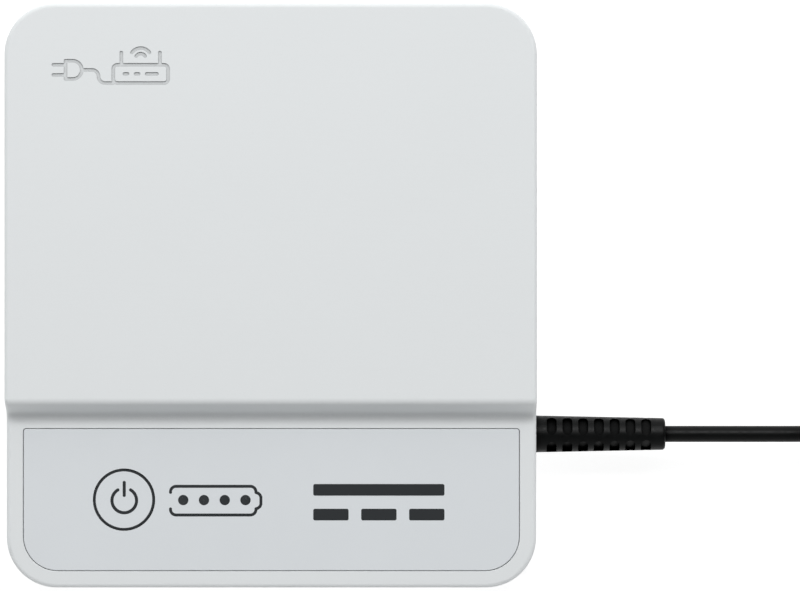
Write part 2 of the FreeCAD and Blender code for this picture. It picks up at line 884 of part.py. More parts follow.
# rebate for the lower shell's lip
plan = sketch(top, "rebate_outline", dim.split_z)
case_outline(plan, dim.skin - dim.lip_t - dim.lip_gap)
pocket(top, plan, dim.lip_h + 0.1, "rebate", reverse=True)
# screw bosses
for tag, end, ceiling in (("front", -1, dim.shelf_ceiling), ("rear", 1, dim.case_top - dim.skin)):
    plan = sketch(top, f"{tag}_bosses", dim.split_z + 0.05)
    for side in (-1, 1):
        circle(plan, side * dim.screw_x, end * dim.screw_y, dim.boss_r)
    pad(top, plan, ceiling - dim.split_z + 0.15, f"{tag}_boss")
plan = sketch(top, "pilot_holes", dim.split_z)
corner_circles(plan, dim.screw_x, dim.screw_y, dim.case_pilot_r)
pocket(top, plan, dim.case_pilot_depth, "pilots", reverse=True)
# fascia recess and the openings through it
plan = sketch(top, "fascia_seat", dim.shelf_z)
fascia_outline(plan, dim.fascia_gap)
pocket(top, plan, dim.fascia_th + dim.glue_th, "fascia_recess")
soften(top, "Fillet", recess_lip, dim.fascia_edge_r, "recess_edge")
plan = sketch(top, "shelf_openings", dim.shelf_z - dim.fascia_th)
button_and_dots(plan, 0.3, 0.3)
pocket(top, plan, 3.0, "openings")
# openings in the right-hand wall
cut_cord_notch(top, "boot_notch_top", "boot_notch")
plan = sketch(top, "jack_window", wall_x - 1, "YZ")
circle(plan, dim.jack_y, jack_z, dim.jack_collar_r + 0.15)
pocket(top, plan, dim.skin + 3, "jack_hole", reverse=True)
# vents in the left and rear walls
plan = sketch(top, "left_vent", -half_w - 1, "YZ")
slot(plan, dim.side_vent_y, dim.vent_z, dim.vent_len, dim.vent_w, upright=True)
vent_row(top, "left_vent", plan, dim.skin + 2, "Y_Axis", dim.side_vent_run, 15)
plan = sketch(top, "rear_vent", -half_d - 1, "XZ")
slot(plan, -dim.rear_vent_run / 2, dim.vent_z, dim.vent_len, dim.vent_w, upright=True)
vent_row(top, "rear_vent", plan, dim.skin + 2, "X_Axis", dim.rear_vent_run, 19)

# sunk pictogram on the platform: a plug, its lead and a small wireless box, as the
# lines and arcs of flat_path(), in drawing units from its lower left corner
PICTOGRAM = [
    # plug body and its two pins
    [(3.0, 1.4, 4.4, 1.4), (4.4, 3.2, 1.8, -90, 90), (4.4, 5.0, 3.0, 5.0), (3.0, 5.0, 3.0, 1.4)],
    [(0.6, 2.2, 3.0, 2.2)],
    [(0.6, 4.2, 3.0, 4.2)],
    # lead
    [(6.2, 3.2, 8.2, 3.2), (8.2, 1.9, 1.3, 90, 0), (10.8, 1.9, 1.3, 180, 270),
     (10.8, 0.6, 12.4, 0.6)],
    # upright lines above the box, lines inside it, and arcs over it
    [(14.0, 4.4, 14.0, 6.6)],
    [(21.6, 4.4, 21.6, 6.6)],
    [(14.6, 2.4, 15.2, 2.4)],
    [(16.8, 2.4, 17.4, 2.4)],
    [(19.0, 2.4, 21.0, 2.4)],
    [(17.8, 5.4, 1.0, 30, 150)],
    [(17.8, 5.4, 2.1, 35, 145)],
    # the box
    [(13.2, 0.6, 22.4, 0.6), (22.4, 1.4, 0.8, -90, 0), (23.2, 1.4, 23.2, 3.4),
     (22.4, 3.4, 0.8, 0, 90), (22.4, 4.2, 13.2, 4.2), (13.2, 3.4, 0.8, 90, 180),
     (12.4, 3.4, 12.4, 1.4), (13.2, 1.4, 0.8, 180, 270)],
]
marks = [stroke(pieces, num.pict_pen, 1, num.pict_unit) for pieces in PICTOGRAM]
pictogram = solid("platform_pictogram_cutter", marks[0].multiFuse(marks[1:]))
place(pictogram, dim.pict_x, dim.pict_y, dim.case_top - dim.pict_depth)
keep(cut("TopCase", top, pictogram), "top_case")

# ---------------------------------------------------------------- lower shell
RIBS_Y = (-9.5, 41.5)
bottom = new_body("bottom_case_shell")
plan = sketch(bottom, "bottom_outline", dim.under_z)
case_outline(plan)
pad(bottom, plan, dim.split_z - dim.under_z, "bottom_block")
soften(bottom, "Fillet", wall_loop_at(num.under_z), dim.keel_r, "keel_rounding")
soften(bottom, "Chamfer", wall_loop_at(num.split_z), dim.seam_c, "seam_chamfer_low")
plan = sketch(bottom, "tray_hollow", dim.split_z)
case_outline(plan, dim.skin)
pocket(bottom, plan, dim.split_z - floor_top, "tray")
# locating lip
plan = sketch(bottom, "lip_outline", dim.split_z - 0.5)
case_outline(plan, dim.skin - dim.lip_t)
case_outline(plan, dim.skin)
pad(bottom, plan, dim.lip_h + 0.5, "lip")
# case screw bosses, bored from below and drilled from above
plan = sketch(bottom, "case_bosses", root_z)
corner_circles(plan, dim.screw_x, dim.screw_y, dim.boss_r - 0.05)
pad(bottom, plan, dim.split_z - root_z, "case_boss")
plan = sketch(bottom, "case_screw_heads", dim.under_z)
corner_circles(plan, dim.screw_x, dim.screw_y, dim.case_bore_r)
pocket(bottom, plan, dim.case_bore_depth, "counterbores", reverse=True)
plan = sketch(bottom, "case_screw_shanks", dim.split_z)
corner_circles(plan, dim.screw_x, dim.screw_y, dim.case_clear_r)
pocket(bottom, plan, dim.split_z - dim.under_z - 2.0, "clearance_holes")
# the lip is cut away where it meets the upper bosses
plan = sketch(bottom, "lip_reliefs", dim.split_z + dim.lip_h + 1)
corner_circles(plan, dim.screw_x, dim.screw_y, dim.boss_r + 0.2)
pocket(bottom, plan, dim.lip_h + 1, "boss_reliefs")
# board posts
plan = sketch(bottom, "board_post_outline", root_z)
for x, y in BOARD_POSTS:
    circle(plan, x, y, dim.board_post_r)
pad(bottom, plan, dim.board_z - root_z, "board_posts")
plan = sketch(bottom, "board_post_pilots", dim.board_z)
for x, y in BOARD_POSTS:
    circle(plan, x, y, dim.board_pilot_r)
pocket(bottom, plan, dim.board_pilot_depth, "board_pilots")
# cell cradle ribs, hollowed to the round of the cells
for i, y in enumerate(RIBS_Y, start=1):
    plan = sketch(bottom, f"cradle_rib_{i}", root_z)
    rectangle(
        plan, -half_w + dim.skin - 0.2, dim.cell_mid_x + 1.5 * dim.cell_pitch + 0.9,
        y - dim.rib_t / 2, y + dim.rib_t / 2, 0,
    )
    pad(bottom, plan, dim.rib_tall, f"rib_{i}")
plan = sketch(bottom, "cell_saddles", -45.0, "XZ")
for x in cells_x:
    circle(plan, x, dim.cell_z, dim.cell_r + 0.05)
pocket(bottom, plan, 62.0, "saddles", reverse=True)


def keyhole_loop(plan, x, half, radius):
    """The outline of the keyhole housing or of the space inside it."""
    rear = dim.key_y + dim.key_travel + half - 1.0
    rectangle(plan, x - half, x + half, dim.key_y - half, rear, radius)


# keyhole slots with closed pockets behind them
for tag, side in SIDES:
    x = side * dim.key_x
    plan = sketch(bottom, f"{tag}_key_housing", root_z)
    keyhole_loop(plan, x, dim.key_box_half, 1.5)
    pad(bottom, plan, dim.key_box_tall, f"{tag}_key_box")
    # the head space is cut from inside the floor, so it opens only through the keyhole
    plan = sketch(bottom, f"{tag}_key_pocket", floor_top)
    keyhole_loop(plan, x, dim.key_room_half, 1.0)
    pocket(bottom, plan, dim.key_room_tall, f"{tag}_head_space", reverse=True)
    plan = sketch(bottom, f"{tag}_key_entry", dim.under_z)
    circle(plan, x, dim.key_y, dim.key_entry_r)
    pocket(bottom, plan, dim.skin + 0.2, f"{tag}_entry", reverse=True)
    plan = sketch(bottom, f"{tag}_key_slot", dim.under_z)
    slot(
        plan, x, dim.key_y + dim.key_travel / 2,
        dim.key_travel + dim.key_slot_w, dim.key_slot_w, upright=True,
    )
    pocket(bottom, plan, dim.skin + 0.2, f"{tag}_slot", reverse=True)
# foot and label recesses
plan = sketch(bottom, "foot_seats", dim.under_z)
corner_circles(plan, dim.foot_x, dim.foot_y, dim.foot_r + 0.12)
pocket(bottom, plan, dim.foot_seat, "foot_recess", reverse=True)
plan = sketch(bottom, "label_seat", dim.under_z)
reach_x, reach_y = dim.label_w / 2 + 0.3, dim.label_d / 2 + 0.3
rectangle(plan, -reach_x, reach_x, dim.label_y - reach_y, dim.label_y + reach_y, 1.8)
pocket(bottom, plan, dim.label_t + 0.1, "label_recess", reverse=True)
for tag, side in SIDES:
    key = f"{tag}_floor_vent"
    plan = sketch(bottom, key, dim.under_z)
    slot(plan, side * dim.floor_vent_x, dim.floor_vent_y, dim.floor_vent_len, dim.floor_vent_w)
    vent_row(bottom, key, plan, dim.skin, "Y_Axis", dim.floor_vent_run, 8)
cut_cord_notch(bottom, "boot_notch_low", "boot_notch_bottom")
keep(bottom, "bottom_case")

# ---------------------------------------------------------------- fascia
fascia = new_body("fascia_blank")
plan = sketch(fascia, "fascia_outline", dim.shelf_z - dim.fascia_th)
fascia_outline(plan)
pad(fascia, plan, dim.fascia_th, "fascia_plate")
soften(
    fascia, "Fillet",
    lambda edge: all(abs(p.z - num.shelf_z) < 1e-4 for p in samples(edge)),
    dim.fascia_edge_r, "fascia_edge",
)
plan = sketch(fascia, "fascia_openings", dim.shelf_z)
button_and_dots(plan, dim.btn_gap, 0.03)
pocket(fascia, plan, dim.fascia_th, "fascia_holes")

# printed battery gauge outline, open at its left end, about its own centre
ink_z = dim.shelf_z - dim.ink_depth
ink_tall = dim.ink_depth + dim.ink_proud
right, rear, bend = num.gauge_w / 2, num.gauge_d / 2, num.gauge_r
bend_x, bend_y = right - bend, rear - bend
tip_half = num.gauge_tip_half
# the rear half of the terminal bulge, mirrored to give the front half
bulge = [
    (right, tip_half),
    (right + 0.38, tip_half - 0.1),
    (right + 0.78, tip_half - 0.42),
    (right + num.gauge_tip, tip_half - 0.85),
]
right_end = [(right, bend_y)] + bulge + [(x, -y) for x, y in reversed(bulge)] + [(right, -bend_y)]
gauge_path = [
    (-right, bend_y - 0.1, -right, bend_y),
    (-bend_x, bend_y, bend, 180, 90),
    (-bend_x, rear, bend_x, rear),
    (bend_x, bend_y, bend, 90, 0),
    *[(*start, *end) for start, end in zip(right_end, right_end[1:])],
    (bend_x, -bend_y, bend, 0, -90),
    (bend_x, -rear, -bend_x, -rear),
    (-bend_x, -bend_y, bend, 270, 180),
    (-right, -bend_y, -right, -bend_y + 0.1),
]
gauge_mark = solid("gauge_mark", stroke(gauge_path, num.gauge_pen, float(ink_tall)))
place(gauge_mark, dim.gauge_x, dim.gauge_y, ink_z)
keep(gauge_mark, "battery_gauge_outline")

# direct-current symbol: a bar over three dashes
dash_pitch = (dim.dc_bar_w - dim.dc_dash_w) / 2
bars = [("dc_bar", dim.dc_bar_w, dim.dc_x, dim.dc_bar_y)] + [
    (f"dc_dash_{i}", dim.dc_dash_w, dim.dc_x + (i - 2) * dash_pitch, dim.dc_dash_y)
    for i in (1, 2, 3)
]
dc_parts = []
for name, width, x, y in bars:
    blank = box(name, width, dim.dc_line_d, ink_tall, x, y, ink_z)
    dc_parts.append(
        round_edges(
            name + "_mark", blank,
            lambda edge: rise(edge) > float(ink_tall) * 0.9, dim.dc_corner_r,
        )
    )
keep(group("DcMark", dc_parts), "direct_current_mark")
fascia_marks = fuse("FasciaMarkCutter", [gauge_mark] + dc_parts)
keep(cut("Fascia", fascia, fascia_marks), "fascia_panel")

# adhesive film
glue = box(
    "glue_sheet", dim.fascia_w - dim.glue_trim,
    dim.fascia_rear_y - dim.fascia_front_y - dim.glue_trim, dim.glue_th,
    0, (dim.fascia_rear_y + dim.fascia_front_y) / 2, dim.shelf_z - dim.fascia_th - dim.glue_th,
)
glue_blank = round_edges(
    "glue_blank", glue, lambda edge: rise(edge) > 0.05 and ends(edge)[0].y < -40,
    dim.glue_corner_r,
)
hole_z = dim.shelf_z - 2.0
glue_holes = [cyl("glue_btn", dim.btn_r + 1.2, 1.0, dim.btn_x, dim.btn_y, hole_z)] + [
    cyl(f"glue_dot{i}", dim.dot_r + 0.6, 1.0, x, dim.dot_y, hole_z) for i, x in enumerate(dots_x)
]
keep(cut("GlueFilm", glue_blank, fuse("glue_openings", glue_holes)), "fascia_adhesive_film")

# ---------------------------------------------------------------- power button
cap_z = dim.shelf_ceiling - 0.1
flange_z = cap_z - dim.btn_flange_t
button = new_body("button_blank")
plan = sketch(button, "cap_outline", cap_z)
circle(plan, 0, 0, dim.btn_r)
pad(button, plan, dim.shelf_z - cap_z, "cap")
plan = sketch(button, "flange_outline", flange_z)
circle(plan, 0, 0, dim.btn_flange_r)
pad(button, plan, dim.btn_flange_t, "flange")
plan = sketch(button, "stem_outline", dim.btn_stem_z)
circle(plan, 0, 0, dim.btn_stem_r)
pad(button, plan, flange_z - dim.btn_stem_z + 0.2, "stem")
plan = sketch(button, "relief_outline", flange_z)
circle(plan, 0, 0, dim.btn_flange_r - 2.4)
circle(plan, 0, 0, dim.btn_stem_r + 0.001)
pocket(button, plan, 2.4, "underside_relief", reverse=True)
plan = sketch(button, "ring_rebate", dim.shelf_z)
circle(plan, 0, 0, dim.btn_r + 0.5)
circle(plan, 0, 0, dim.btn_r - dim.btn_ring_w)
pocket(button, plan, dim.btn_ring_t, "ring_seat")
place(button, dim.btn_x, dim.btn_y, 0)

# the power mark on the cap: an open ring and an upright bar
POWER_MARK = [
    ("power_arc_mark", (0.05, -0.15, num.symbol_r, 121, 419)),
    ("power_bar_mark", (0.05, num.symbol_r + 0.98, 0.05, num.symbol_r - 1.58)),
]
power_marks = []
for name, piece in POWER_MARK:
    mark = solid(name, stroke([piece], num.symbol_pen, float(ink_tall)))
    power_marks.append(place(mark, dim.btn_x, dim.btn_y, ink_z))
symbol = keep(group("PowerSymbol", power_marks), "power_symbol")
keep(cut("PowerButton", button, symbol), "power_button")
ring_z = dim.shelf_z - dim.btn_ring_t
ring_out = cyl("ring_out", dim.btn_r, dim.btn_ring_t, dim.btn_x, dim.btn_y, ring_z)
ring_in = cyl("ring_in", dim.btn_r - dim.btn_ring_w, 1.0, dim.btn_x, dim.btn_y, ring_z - 0.2)
keep(
    round_edges(
        "ButtonRing", cut("ring_blank", ring_out, ring_in),
        lambda edge: is_level(edge) and abs(edge.BoundBox.ZMin - num.shelf_z) < 1e-3
        and edge.BoundBox.XLength > 2 * (num.btn_r - 0.2),
        0.1,
    ),
    "power_button_ring",
)

# ---------------------------------------------------------------- light guide and lamps
guide = [
    cyl(f"guide_post_{i}", dim.dot_r, dim.shelf_z - dim.guide_z, x, dim.dot_y, dim.guide_z)
    for i, x in enumerate(dots_x)
]
bar_w, bar_z = 3 * dim.dot_pitch + 6.4, dim.shelf_ceiling - 1.5
guide.append(box("guide_bar", bar_w, 2.4, 1.4, dots_mid_x, dim.dot_y, bar_z))
leg_z = board_top + 0.02
leg_tall = dim.shelf_ceiling - 1.4 - leg_z
for tag, offset in (("a", -8.2), ("b", 8.2)):
    guide.append(cyl(f"guide_leg_{tag}", 0.8, leg_tall, dots_mid_x + offset, dim.dot_y, leg_z))
keep(fuse("LightGuide", guide), "indicator_light_guide")
lamps = []
for i, x in enumerate(dots_x):
    base = box(f"lamp_base_{i}", 2.0, 1.25, 0.5, x, dim.dot_y, board_top)
    lens = box(f"lamp_lens_{i}", 1.3, 1.25, 0.6, x, dim.dot_y, board_top + 0.5)
    lamps.append(fuse(f"lamp_{i}", [base, lens]))
keep(group("StatusLamps", lamps), "status_leds")

# ---------------------------------------------------------------- main board
board = new_body("board_blank")
plan = sketch(board, "board_outline", dim.board_z)
rear_step_y = dim.board_step_y - 0.2
polygon(
    plan,
    [
        (-dim.board_step_x, -dim.board_edge_y),
        (dim.board_step_x, -dim.board_edge_y),
        (dim.board_step_x, -dim.board_step_y),
        (dim.board_edge_x, -dim.board_step_y),
        (dim.board_edge_x, dim.board_cord_lo),
        (dim.board_cord_x, dim.board_cord_lo),
        (dim.board_cord_x, dim.board_cord_hi),
        (dim.board_edge_x, dim.board_cord_hi),
        (dim.board_edge_x, rear_step_y),
        (dim.board_step_x, rear_step_y),
        (dim.board_step_x, dim.board_edge_y),
        (dim.board_bay_x, dim.board_edge_y),
        (dim.board_bay_x, dim.board_bay_y),
        (-dim.board_edge_x, dim.board_bay_y),
        (-dim.board_edge_x, -dim.board_step_y),
        (-dim.board_step_x, -dim.board_step_y),
    ],
)
pad(board, plan, dim.board_th, "laminate")
plan = sketch(board, "board_holes", board_top)
for x, y in BOARD_POSTS:
    circle(plan, x, y, dim.board_hole_r)
pocket(board, plan, dim.board_th, "screw_holes")
soften(
    board, "Fillet", lambda edge: is_post(edge, 1.0) and abs(ends(edge)[0].x) > 8,
    0.8, "board_corners",
)
keep(board, "main_circuit_board")


# ---------------------------------------------------------------- screws
def pan_screw(name, x, y, z, kind, up):
    """Cross-recess screw: z is the seat under the head; the shank points up or down."""
    head_r, head_h, shank_r, length = [
        VALUES[f"{kind}_{size}"] for size in ("head_r", "head_t", "shank_r", "shank_len")
    ]
    profile = [
        (0, 0, -head_h),
        (head_r * 0.55, 0, -head_h),
        (head_r * 0.9, 0, -head_h * 0.72),
        (head_r, 0, -head_h * 0.35),
        (head_r, 0, 0),
        (shank_r, 0, 0),
        (shank_r, 0, length - shank_r),
        (0.35 * shank_r, 0, length),
        (0, 0, length),
    ]
    shape = grooved(
        spun(profile, (0, 0, 1)), (0, 90),
        length=head_r * 1.15, width=head_r * 0.26, height=head_h * 0.6, z=-head_h - 0.01,
    )
    turn = Rotation() if up else Rotation(Vector(1, 0, 0), 180)
    return place(solid(name, shape), x, y, z, turn)


seat_z = dim.under_z + dim.case_bore_depth
case_screws = [
    pan_screw(f"case_screw_{i}", side * dim.screw_x, end * dim.screw_y, seat_z, "case", up=True)
    for i, (side, end) in enumerate(CORNERS)
]
keep(group("CaseScrews", case_screws), "case_screws")
board_screws = [
    pan_screw(f"board_screw_{i}", x, y, board_top, "board", up=False)
    for i, (x, y) in enumerate(BOARD_POSTS)
]
keep(group("BoardScrews", board_screws), "board_screws")

# ---------------------------------------------------------------- push switch, under the button
btn_x, btn_y = dim.btn_x, dim.btn_y
block = box("switch_block", dim.switch_w, dim.switch_w, dim.switch_tall, btn_x, btn_y, board_top)
bore = cyl("switch_bore", dim.switch_bore_r, 3.0, btn_x, btn_y, board_top + 1.0)
housing = cut("SwitchHousing", block, bore)
keep(
    round_edges("SwitchHousingRounded", housing, lambda edge: is_post(edge, 3.0), 0.4),
    "push_switch_housing",
)
cover_plate = box(
    "switch_cover_plate", dim.switch_w, dim.switch_w, dim.switch_cover_t,
    btn_x, btn_y, board_top + dim.switch_tall,
)
cover_hole = cyl(
    "switch_cover_hole", dim.switch_bore_r + 0.1, 1.0, btn_x, btn_y, board_top + 3.0
)
keep(cut("SwitchCover", cover_plate, cover_hole), "push_switch_cover")
plunger_stem = cyl(
    "plunger_stem", dim.plunger_r, dim.btn_stem_z - 0.1 - board_top - dim.plunger_lift,
    btn_x, btn_y, board_top + dim.plunger_lift,
)
keep(
    round_edges(
        "SwitchPlunger", plunger_stem,
        lambda edge: is_level(edge) and edge.BoundBox.ZMin > 16 and edge.BoundBox.XLength > 1,
        0.3,
    ),
    "push_switch_plunger",
)
legs = [
    box(f"switch_leg_{i}", 1.4, 0.7, 0.2, btn_x + side * 3.85, btn_y + end * 2.25, board_top)
    for i, (side, end) in enumerate(CORNERS)
]
keep(group("SwitchTerminals", legs), "push_switch_terminals")

# ---------------------------------------------------------------- input socket
jack_block = box(
    "jack_block", dim.jack_len, dim.jack_w, dim.jack_tall,
    wall_x - 0.3 - dim.jack_len / 2, dim.jack_y, board_top + 0.02,
)
jack_collar = cyl("jack_collar", dim.jack_collar_r, 2.4, wall_x - 0.6, dim.jack_y, jack_z, TO_X)
jack_outer = fuse("jack_outer", [jack_block, jack_collar])
jack_voids = [
    cyl("jack_hollow", dim.jack_bore_r, 14.0, wall_x - dim.jack_deep, dim.jack_y, jack_z, TO_X),
    cyl("jack_rivet_hole", 1.65, 6.0, wall_x - 14.5, dim.jack_y, jack_z, TO_X),
    box("jack_contact_slot", 10.2, 2.6, 4.6, wall_x - 8.0, dim.jack_y, board_top),
]
keep(cut("InputSocket", jack_outer, fuse("jack_voids", jack_voids)), "input_socket_housing")
# the pin's profile runs along X from the outer wall face
pin_tip = -1.0
pin_back = -num.skin - num.jack_deep
rivet_r = 1.6
pin_profile = [
    (pin_back - 5.0, 0, 0),
    (pin_back - 5.0, rivet_r, 0),
    (pin_back, rivet_r, 0),
    (pin_back, num.jack_pin_r, 0),
    (pin_tip - 0.5, num.jack_pin_r, 0),
    (pin_tip - 0.15, 0.72, 0),
    (pin_tip, 0.35, 0),
    (pin_tip, 0, 0),
]
pin = solid("InputPin", spun(pin_profile, (1, 0, 0)))
keep(place(pin, half_w, dim.jack_y, jack_z), "input_socket_centre_pin")
# centre line of the spring contact: x, z from the middle of its slot on the board
LEAF = [(-4.8, 0.5), (-4.8, 4.3), (-2.0, 4.0), (2.6, 3.78), (3.8, 3.3), (4.0, 2.8)]
leaf_points = [Vector(x, 0, z) for x, z in LEAF]
leaf_wire = Part.Wire([line_edge(a, b) for a, b in zip(leaf_points, leaf_points[1:])])
leaf_loop = leaf_wire.makeOffset2D(num.leaf_half_t, join=0, fill=False, openResult=False)
leaf = solid("InputSpring", Part.Face(leaf_loop).extrude(Vector(0, num.leaf_w, 0)))
keep(
    place(leaf, wall_x - 8.0, dim.jack_y - dim.leaf_w / 2, board_top),
    "input_socket_spring_contact",
)

# ---------------------------------------------------------------- board components
# places are x, y of each part's centre
CHOKES = [(20.5, -12.0), (20.5, 6.0)]
CANS = [(42.5, -8.5), (42.5, 20.5), (31.5, 20.5)]
CHIP_PARTS = [
    (-2, -27), (-2, -30), (-2, -33), (13, -30), (13, -33), (16, -45), (16, -42), (16, -39),
    (0, -45), (0, -42), (-38, -30), (-38, -33), (28.4, 12), (28.4, 15), (30, 30), (33, 30),
    (36, 30), (24, 34),
]
# packages: width, depth, height, lead count, lead pitch
LOGIC = (dim.logic_w, dim.logic_d, dim.logic_tall, 16, 0.6)
POWER = (dim.power_w, dim.power_d, dim.power_tall, 8, 1.1)
CONTROL_CHIPS = [
    ("controller_chip", 6.0, -30.0, LOGIC),
    ("charger_chip", 24.0, -42.0, POWER),
    ("boost_chip", 20.0, 20.0, POWER),
]
TRANSISTORS = [
    ("fet_a", 12.5, -22.6, POWER),
    ("fet_b", 8.0, -42.0, POWER),
    ("fet_c", 20.0, 28.0, POWER),
]

chokes = []
for i, (x, y) in enumerate(CHOKES):
    blank = box(
        f"choke_core_blank_{i}", dim.choke_w, dim.choke_w, dim.choke_tall, x, y, board_top
    )
    core = round_edges(f"choke_core_{i}", blank, lambda edge: rise(edge) > 3, 2.2)
    chokes.append(
        round_edges(
            f"choke_core_rounded_{i}", core,
            lambda edge: is_level(edge) and edge.BoundBox.ZMin > 12, 0.5,
        )
    )
keep(group("Chokes", chokes), "power_inductors")

can_r, can_tall = num.can_r, num.can_tall
can_profile = [
    (0, 0, 0),
    (can_r - 0.4, 0, 0),
    (can_r, 0, 0.5),
    (can_r, 0, 1.2),
    (can_r - 0.25, 0, 1.5),
    (can_r, 0, 1.8),
    (can_r, 0, can_tall - 0.5),
    (can_r - 0.4, 0, can_tall),
    (can_r - 1.0, 0, can_tall),
    (can_r - 1.0, 0, can_tall - 0.15),
    (0, 0, can_tall - 0.15),
]
cans = []
for i, (x, y) in enumerate(CANS):
    can = grooved(
        spun(can_profile, (0, 0, 1)), (0, 60, 120),
        length=5.0, width=0.3, height=0.3, z=can_tall - 0.3,
    )
    cans.append(place(solid(f"electrolytic_{i}", can), x, y, board_top))
keep(group("Electrolytics", cans), "electrolytic_capacitors")


def chip(name, x, y, package):
    """Moulded package with flat leads along its front and rear sides."""
    width, depth, height, leads, pitch = package
    parts = [box(name + "_mould", width, depth, height, x, y, board_top + 0.1)]
    per_side = leads // 2
    for i in range(per_side):
        lead_x = x + (i - (per_side - 1) / 2) * pitch
        for side in (-1, 1):
            lead_y = y + side * (depth / 2 + dim.lead_len / 3)
            parts.append(
                box(
                    f"{name}_lead_{i}_{side}", dim.lead_w, dim.lead_len, dim.lead_t,
                    lead_x, lead_y, board_top,
                )
            )
    return fuse(name, parts)


keep(group("ControlChips", [chip(*entry) for entry in CONTROL_CHIPS]), "control_chips")
keep(group("PowerTransistors", [chip(*entry) for entry in TRANSISTORS]), "power_transistors")
chip_parts = [
    box(f"chip_part_{i}", dim.chip_len, dim.chip_w, dim.chip_tall, x, y, board_top)
    for i, (x, y) in enumerate(CHIP_PARTS)
]
keep(group("ChipParts", chip_parts), "chip_capacitors_and_resistors")
fuse_blank = box(
    "fuse_blank", dim.fuse_len, dim.fuse_w, dim.fuse_tall, 41.0, -15.5, board_top
)
keep(round_edges("BoardFuse", fuse_blank, lambda edge: True, 0.2), "board_fuse")

# ---------------------------------------------------------------- battery pack
cells_front, cells_rear = dim.cell_front_y, dim.cell_front_y + dim.cell_len
cell_z = dim.cell_z
terminal_caps, rings = [], []
for i, label in enumerate(("left", "middle", "right")):
    x = cells_x[i]
    can = cyl(
        f"cell_can_{i}", dim.cell_r, dim.cell_len - 2 * dim.cap_t,
        x, cells_front + dim.cap_t, cell_z, TO_Y,
    )
    cell = round_edges(
        f"cell_{i}", can,
        lambda edge: edge.BoundBox.YLength < 1e-3 and edge.BoundBox.XLength > 1, 0.6,
    )
    keep(cell, f"battery_cell_{label}")
    # the middle cell lies the other way round
    if label == "middle":
        plus_y, ring_y = cells_rear - dim.cap_t, cells_rear - dim.cap_t
    else:
        plus_y, ring_y = cells_front, cells_front + 0.45
    terminal_caps.append(cyl(f"cell_cap_{i}", dim.cap_r, dim.cap_t, x, plus_y, cell_z, TO_Y))
    disc = cyl(f"cell_ring_out_{i}", dim.washer_r, dim.washer_t, x, ring_y, cell_z, TO_Y)
    hole = cyl(f"cell_ring_in_{i}", dim.washer_bore_r, 2.0, x, plus_y - 0.6, cell_z, TO_Y)
    rings.append(cut(f"cell_ring_{i}", disc, hole))
keep(group("CellCaps", terminal_caps), "cell_terminal_caps")
keep(group("CellRings", rings), "cell_insulator_rings")

# series links: the left cell's rear joins the middle's rear, the middle's front the right's
# name, first cell X, last cell X, Y
left_x, middle_x, right_x = cells_x
STRIPS = [
    ("link_rear", left_x, middle_x, cells_rear + 0.1),
    ("link_front", middle_x, right_x, cells_front - 0.1),
    ("tab_positive", left_x, left_x, cells_front - 0.1),
    ("tab_negative", right_x, right_x, cells_rear + 0.1),
]
strips = [
    box(
        name, last_x - first_x + 2 * dim.nickel_over, dim.nickel_t, dim.nickel_w,
        (first_x + last_x) / 2, y, cell_z - dim.nickel_w / 2,
    )
    for name, first_x, last_x, y in STRIPS
]
keep(group("NickelStrips", strips), "nickel_strips")
papers = [
    box(name, dim.paper_w, dim.paper_t, dim.paper_tall, x, y, cell_z - dim.paper_tall / 2)
    for name, x, y in (
        ("paper_rear", middle_x + 0.2, cells_rear + 0.32),
        ("paper_front", middle_x, cells_front - 0.32),
    )
]
keep(group("CellPapers", papers), "insulating_papers")
foam_z = cell_z + dim.cell_r + dim.foam_gap
foam_tall = dim.case_top - dim.skin - dim.foam_gap - foam_z
foams = [
    box(name, dim.foam_w, dim.foam_d, foam_tall, middle_x, y, foam_z)
    for name, y in (("foam_front", 0.0), ("foam_rear", 30.0))
]
keep(group("FoamPads", foams), "cell_foam_pads")

guard = box(
    "protection_board_blank", dim.guard_w, dim.guard_t, dim.guard_tall, -19.0, 50.4, 8.8
)
keep(
    round_edges("ProtectionBoard", guard, lambda edge: edge.BoundBox.YLength > 0.9, 0.8),
    "battery_protection_board",
)
guard_parts = [
    box(
        f"pcm_part_{i}", dim.guard_part_w, dim.guard_part_t, dim.guard_part_tall,
        -31.0 + 6.0 * i, 51.45, 13.0,
    )
    for i in range(5)
]
keep(group("ProtectionParts", guard_parts), "protection_board_components")

# ---------------------------------------------------------------- battery lead
header_x, header_y = dim.header_x, dim.header_y
pins_x = [(side, header_x + side * dim.header_pitch) for side in (-1, 1)]
inner_z = board_top + dim.header_floor
header = box(
    "header_block", dim.header_w, dim.header_d, dim.header_tall, header_x, header_y, board_top
)
header_void = box(
    "header_void", dim.header_w - 2 * dim.header_wall, dim.header_d - 2 * dim.header_wall,
    dim.header_tall, header_x, header_y, inner_z,
)
pin_w = dim.header_pin_w
header_pins = [
    box(f"header_pin_{side}", pin_w, pin_w, dim.header_pin_tall, x, header_y, inner_z)
    for side, x in pins_x
]
keep(cut("HeaderShell", header, header_void), "battery_header")
keep(group("HeaderPins", header_pins), "battery_header_pins")
plug_block = box(
    "lead_plug_block", dim.lead_plug_w, dim.lead_plug_d, dim.lead_plug_tall,
    header_x, header_y, board_top + dim.lead_plug_lift,
)
hole_w = pin_w + 0.16
plug_holes = [
    box(f"lead_plug_hole_{side}", hole_w, hole_w, 5.0, x, header_y, board_top + 1.0)
    for side, x in pins_x
]
keep(cut("LeadPlug", plug_block, fuse("lead_plug_holes", plug_holes)), "battery_lead_plug")
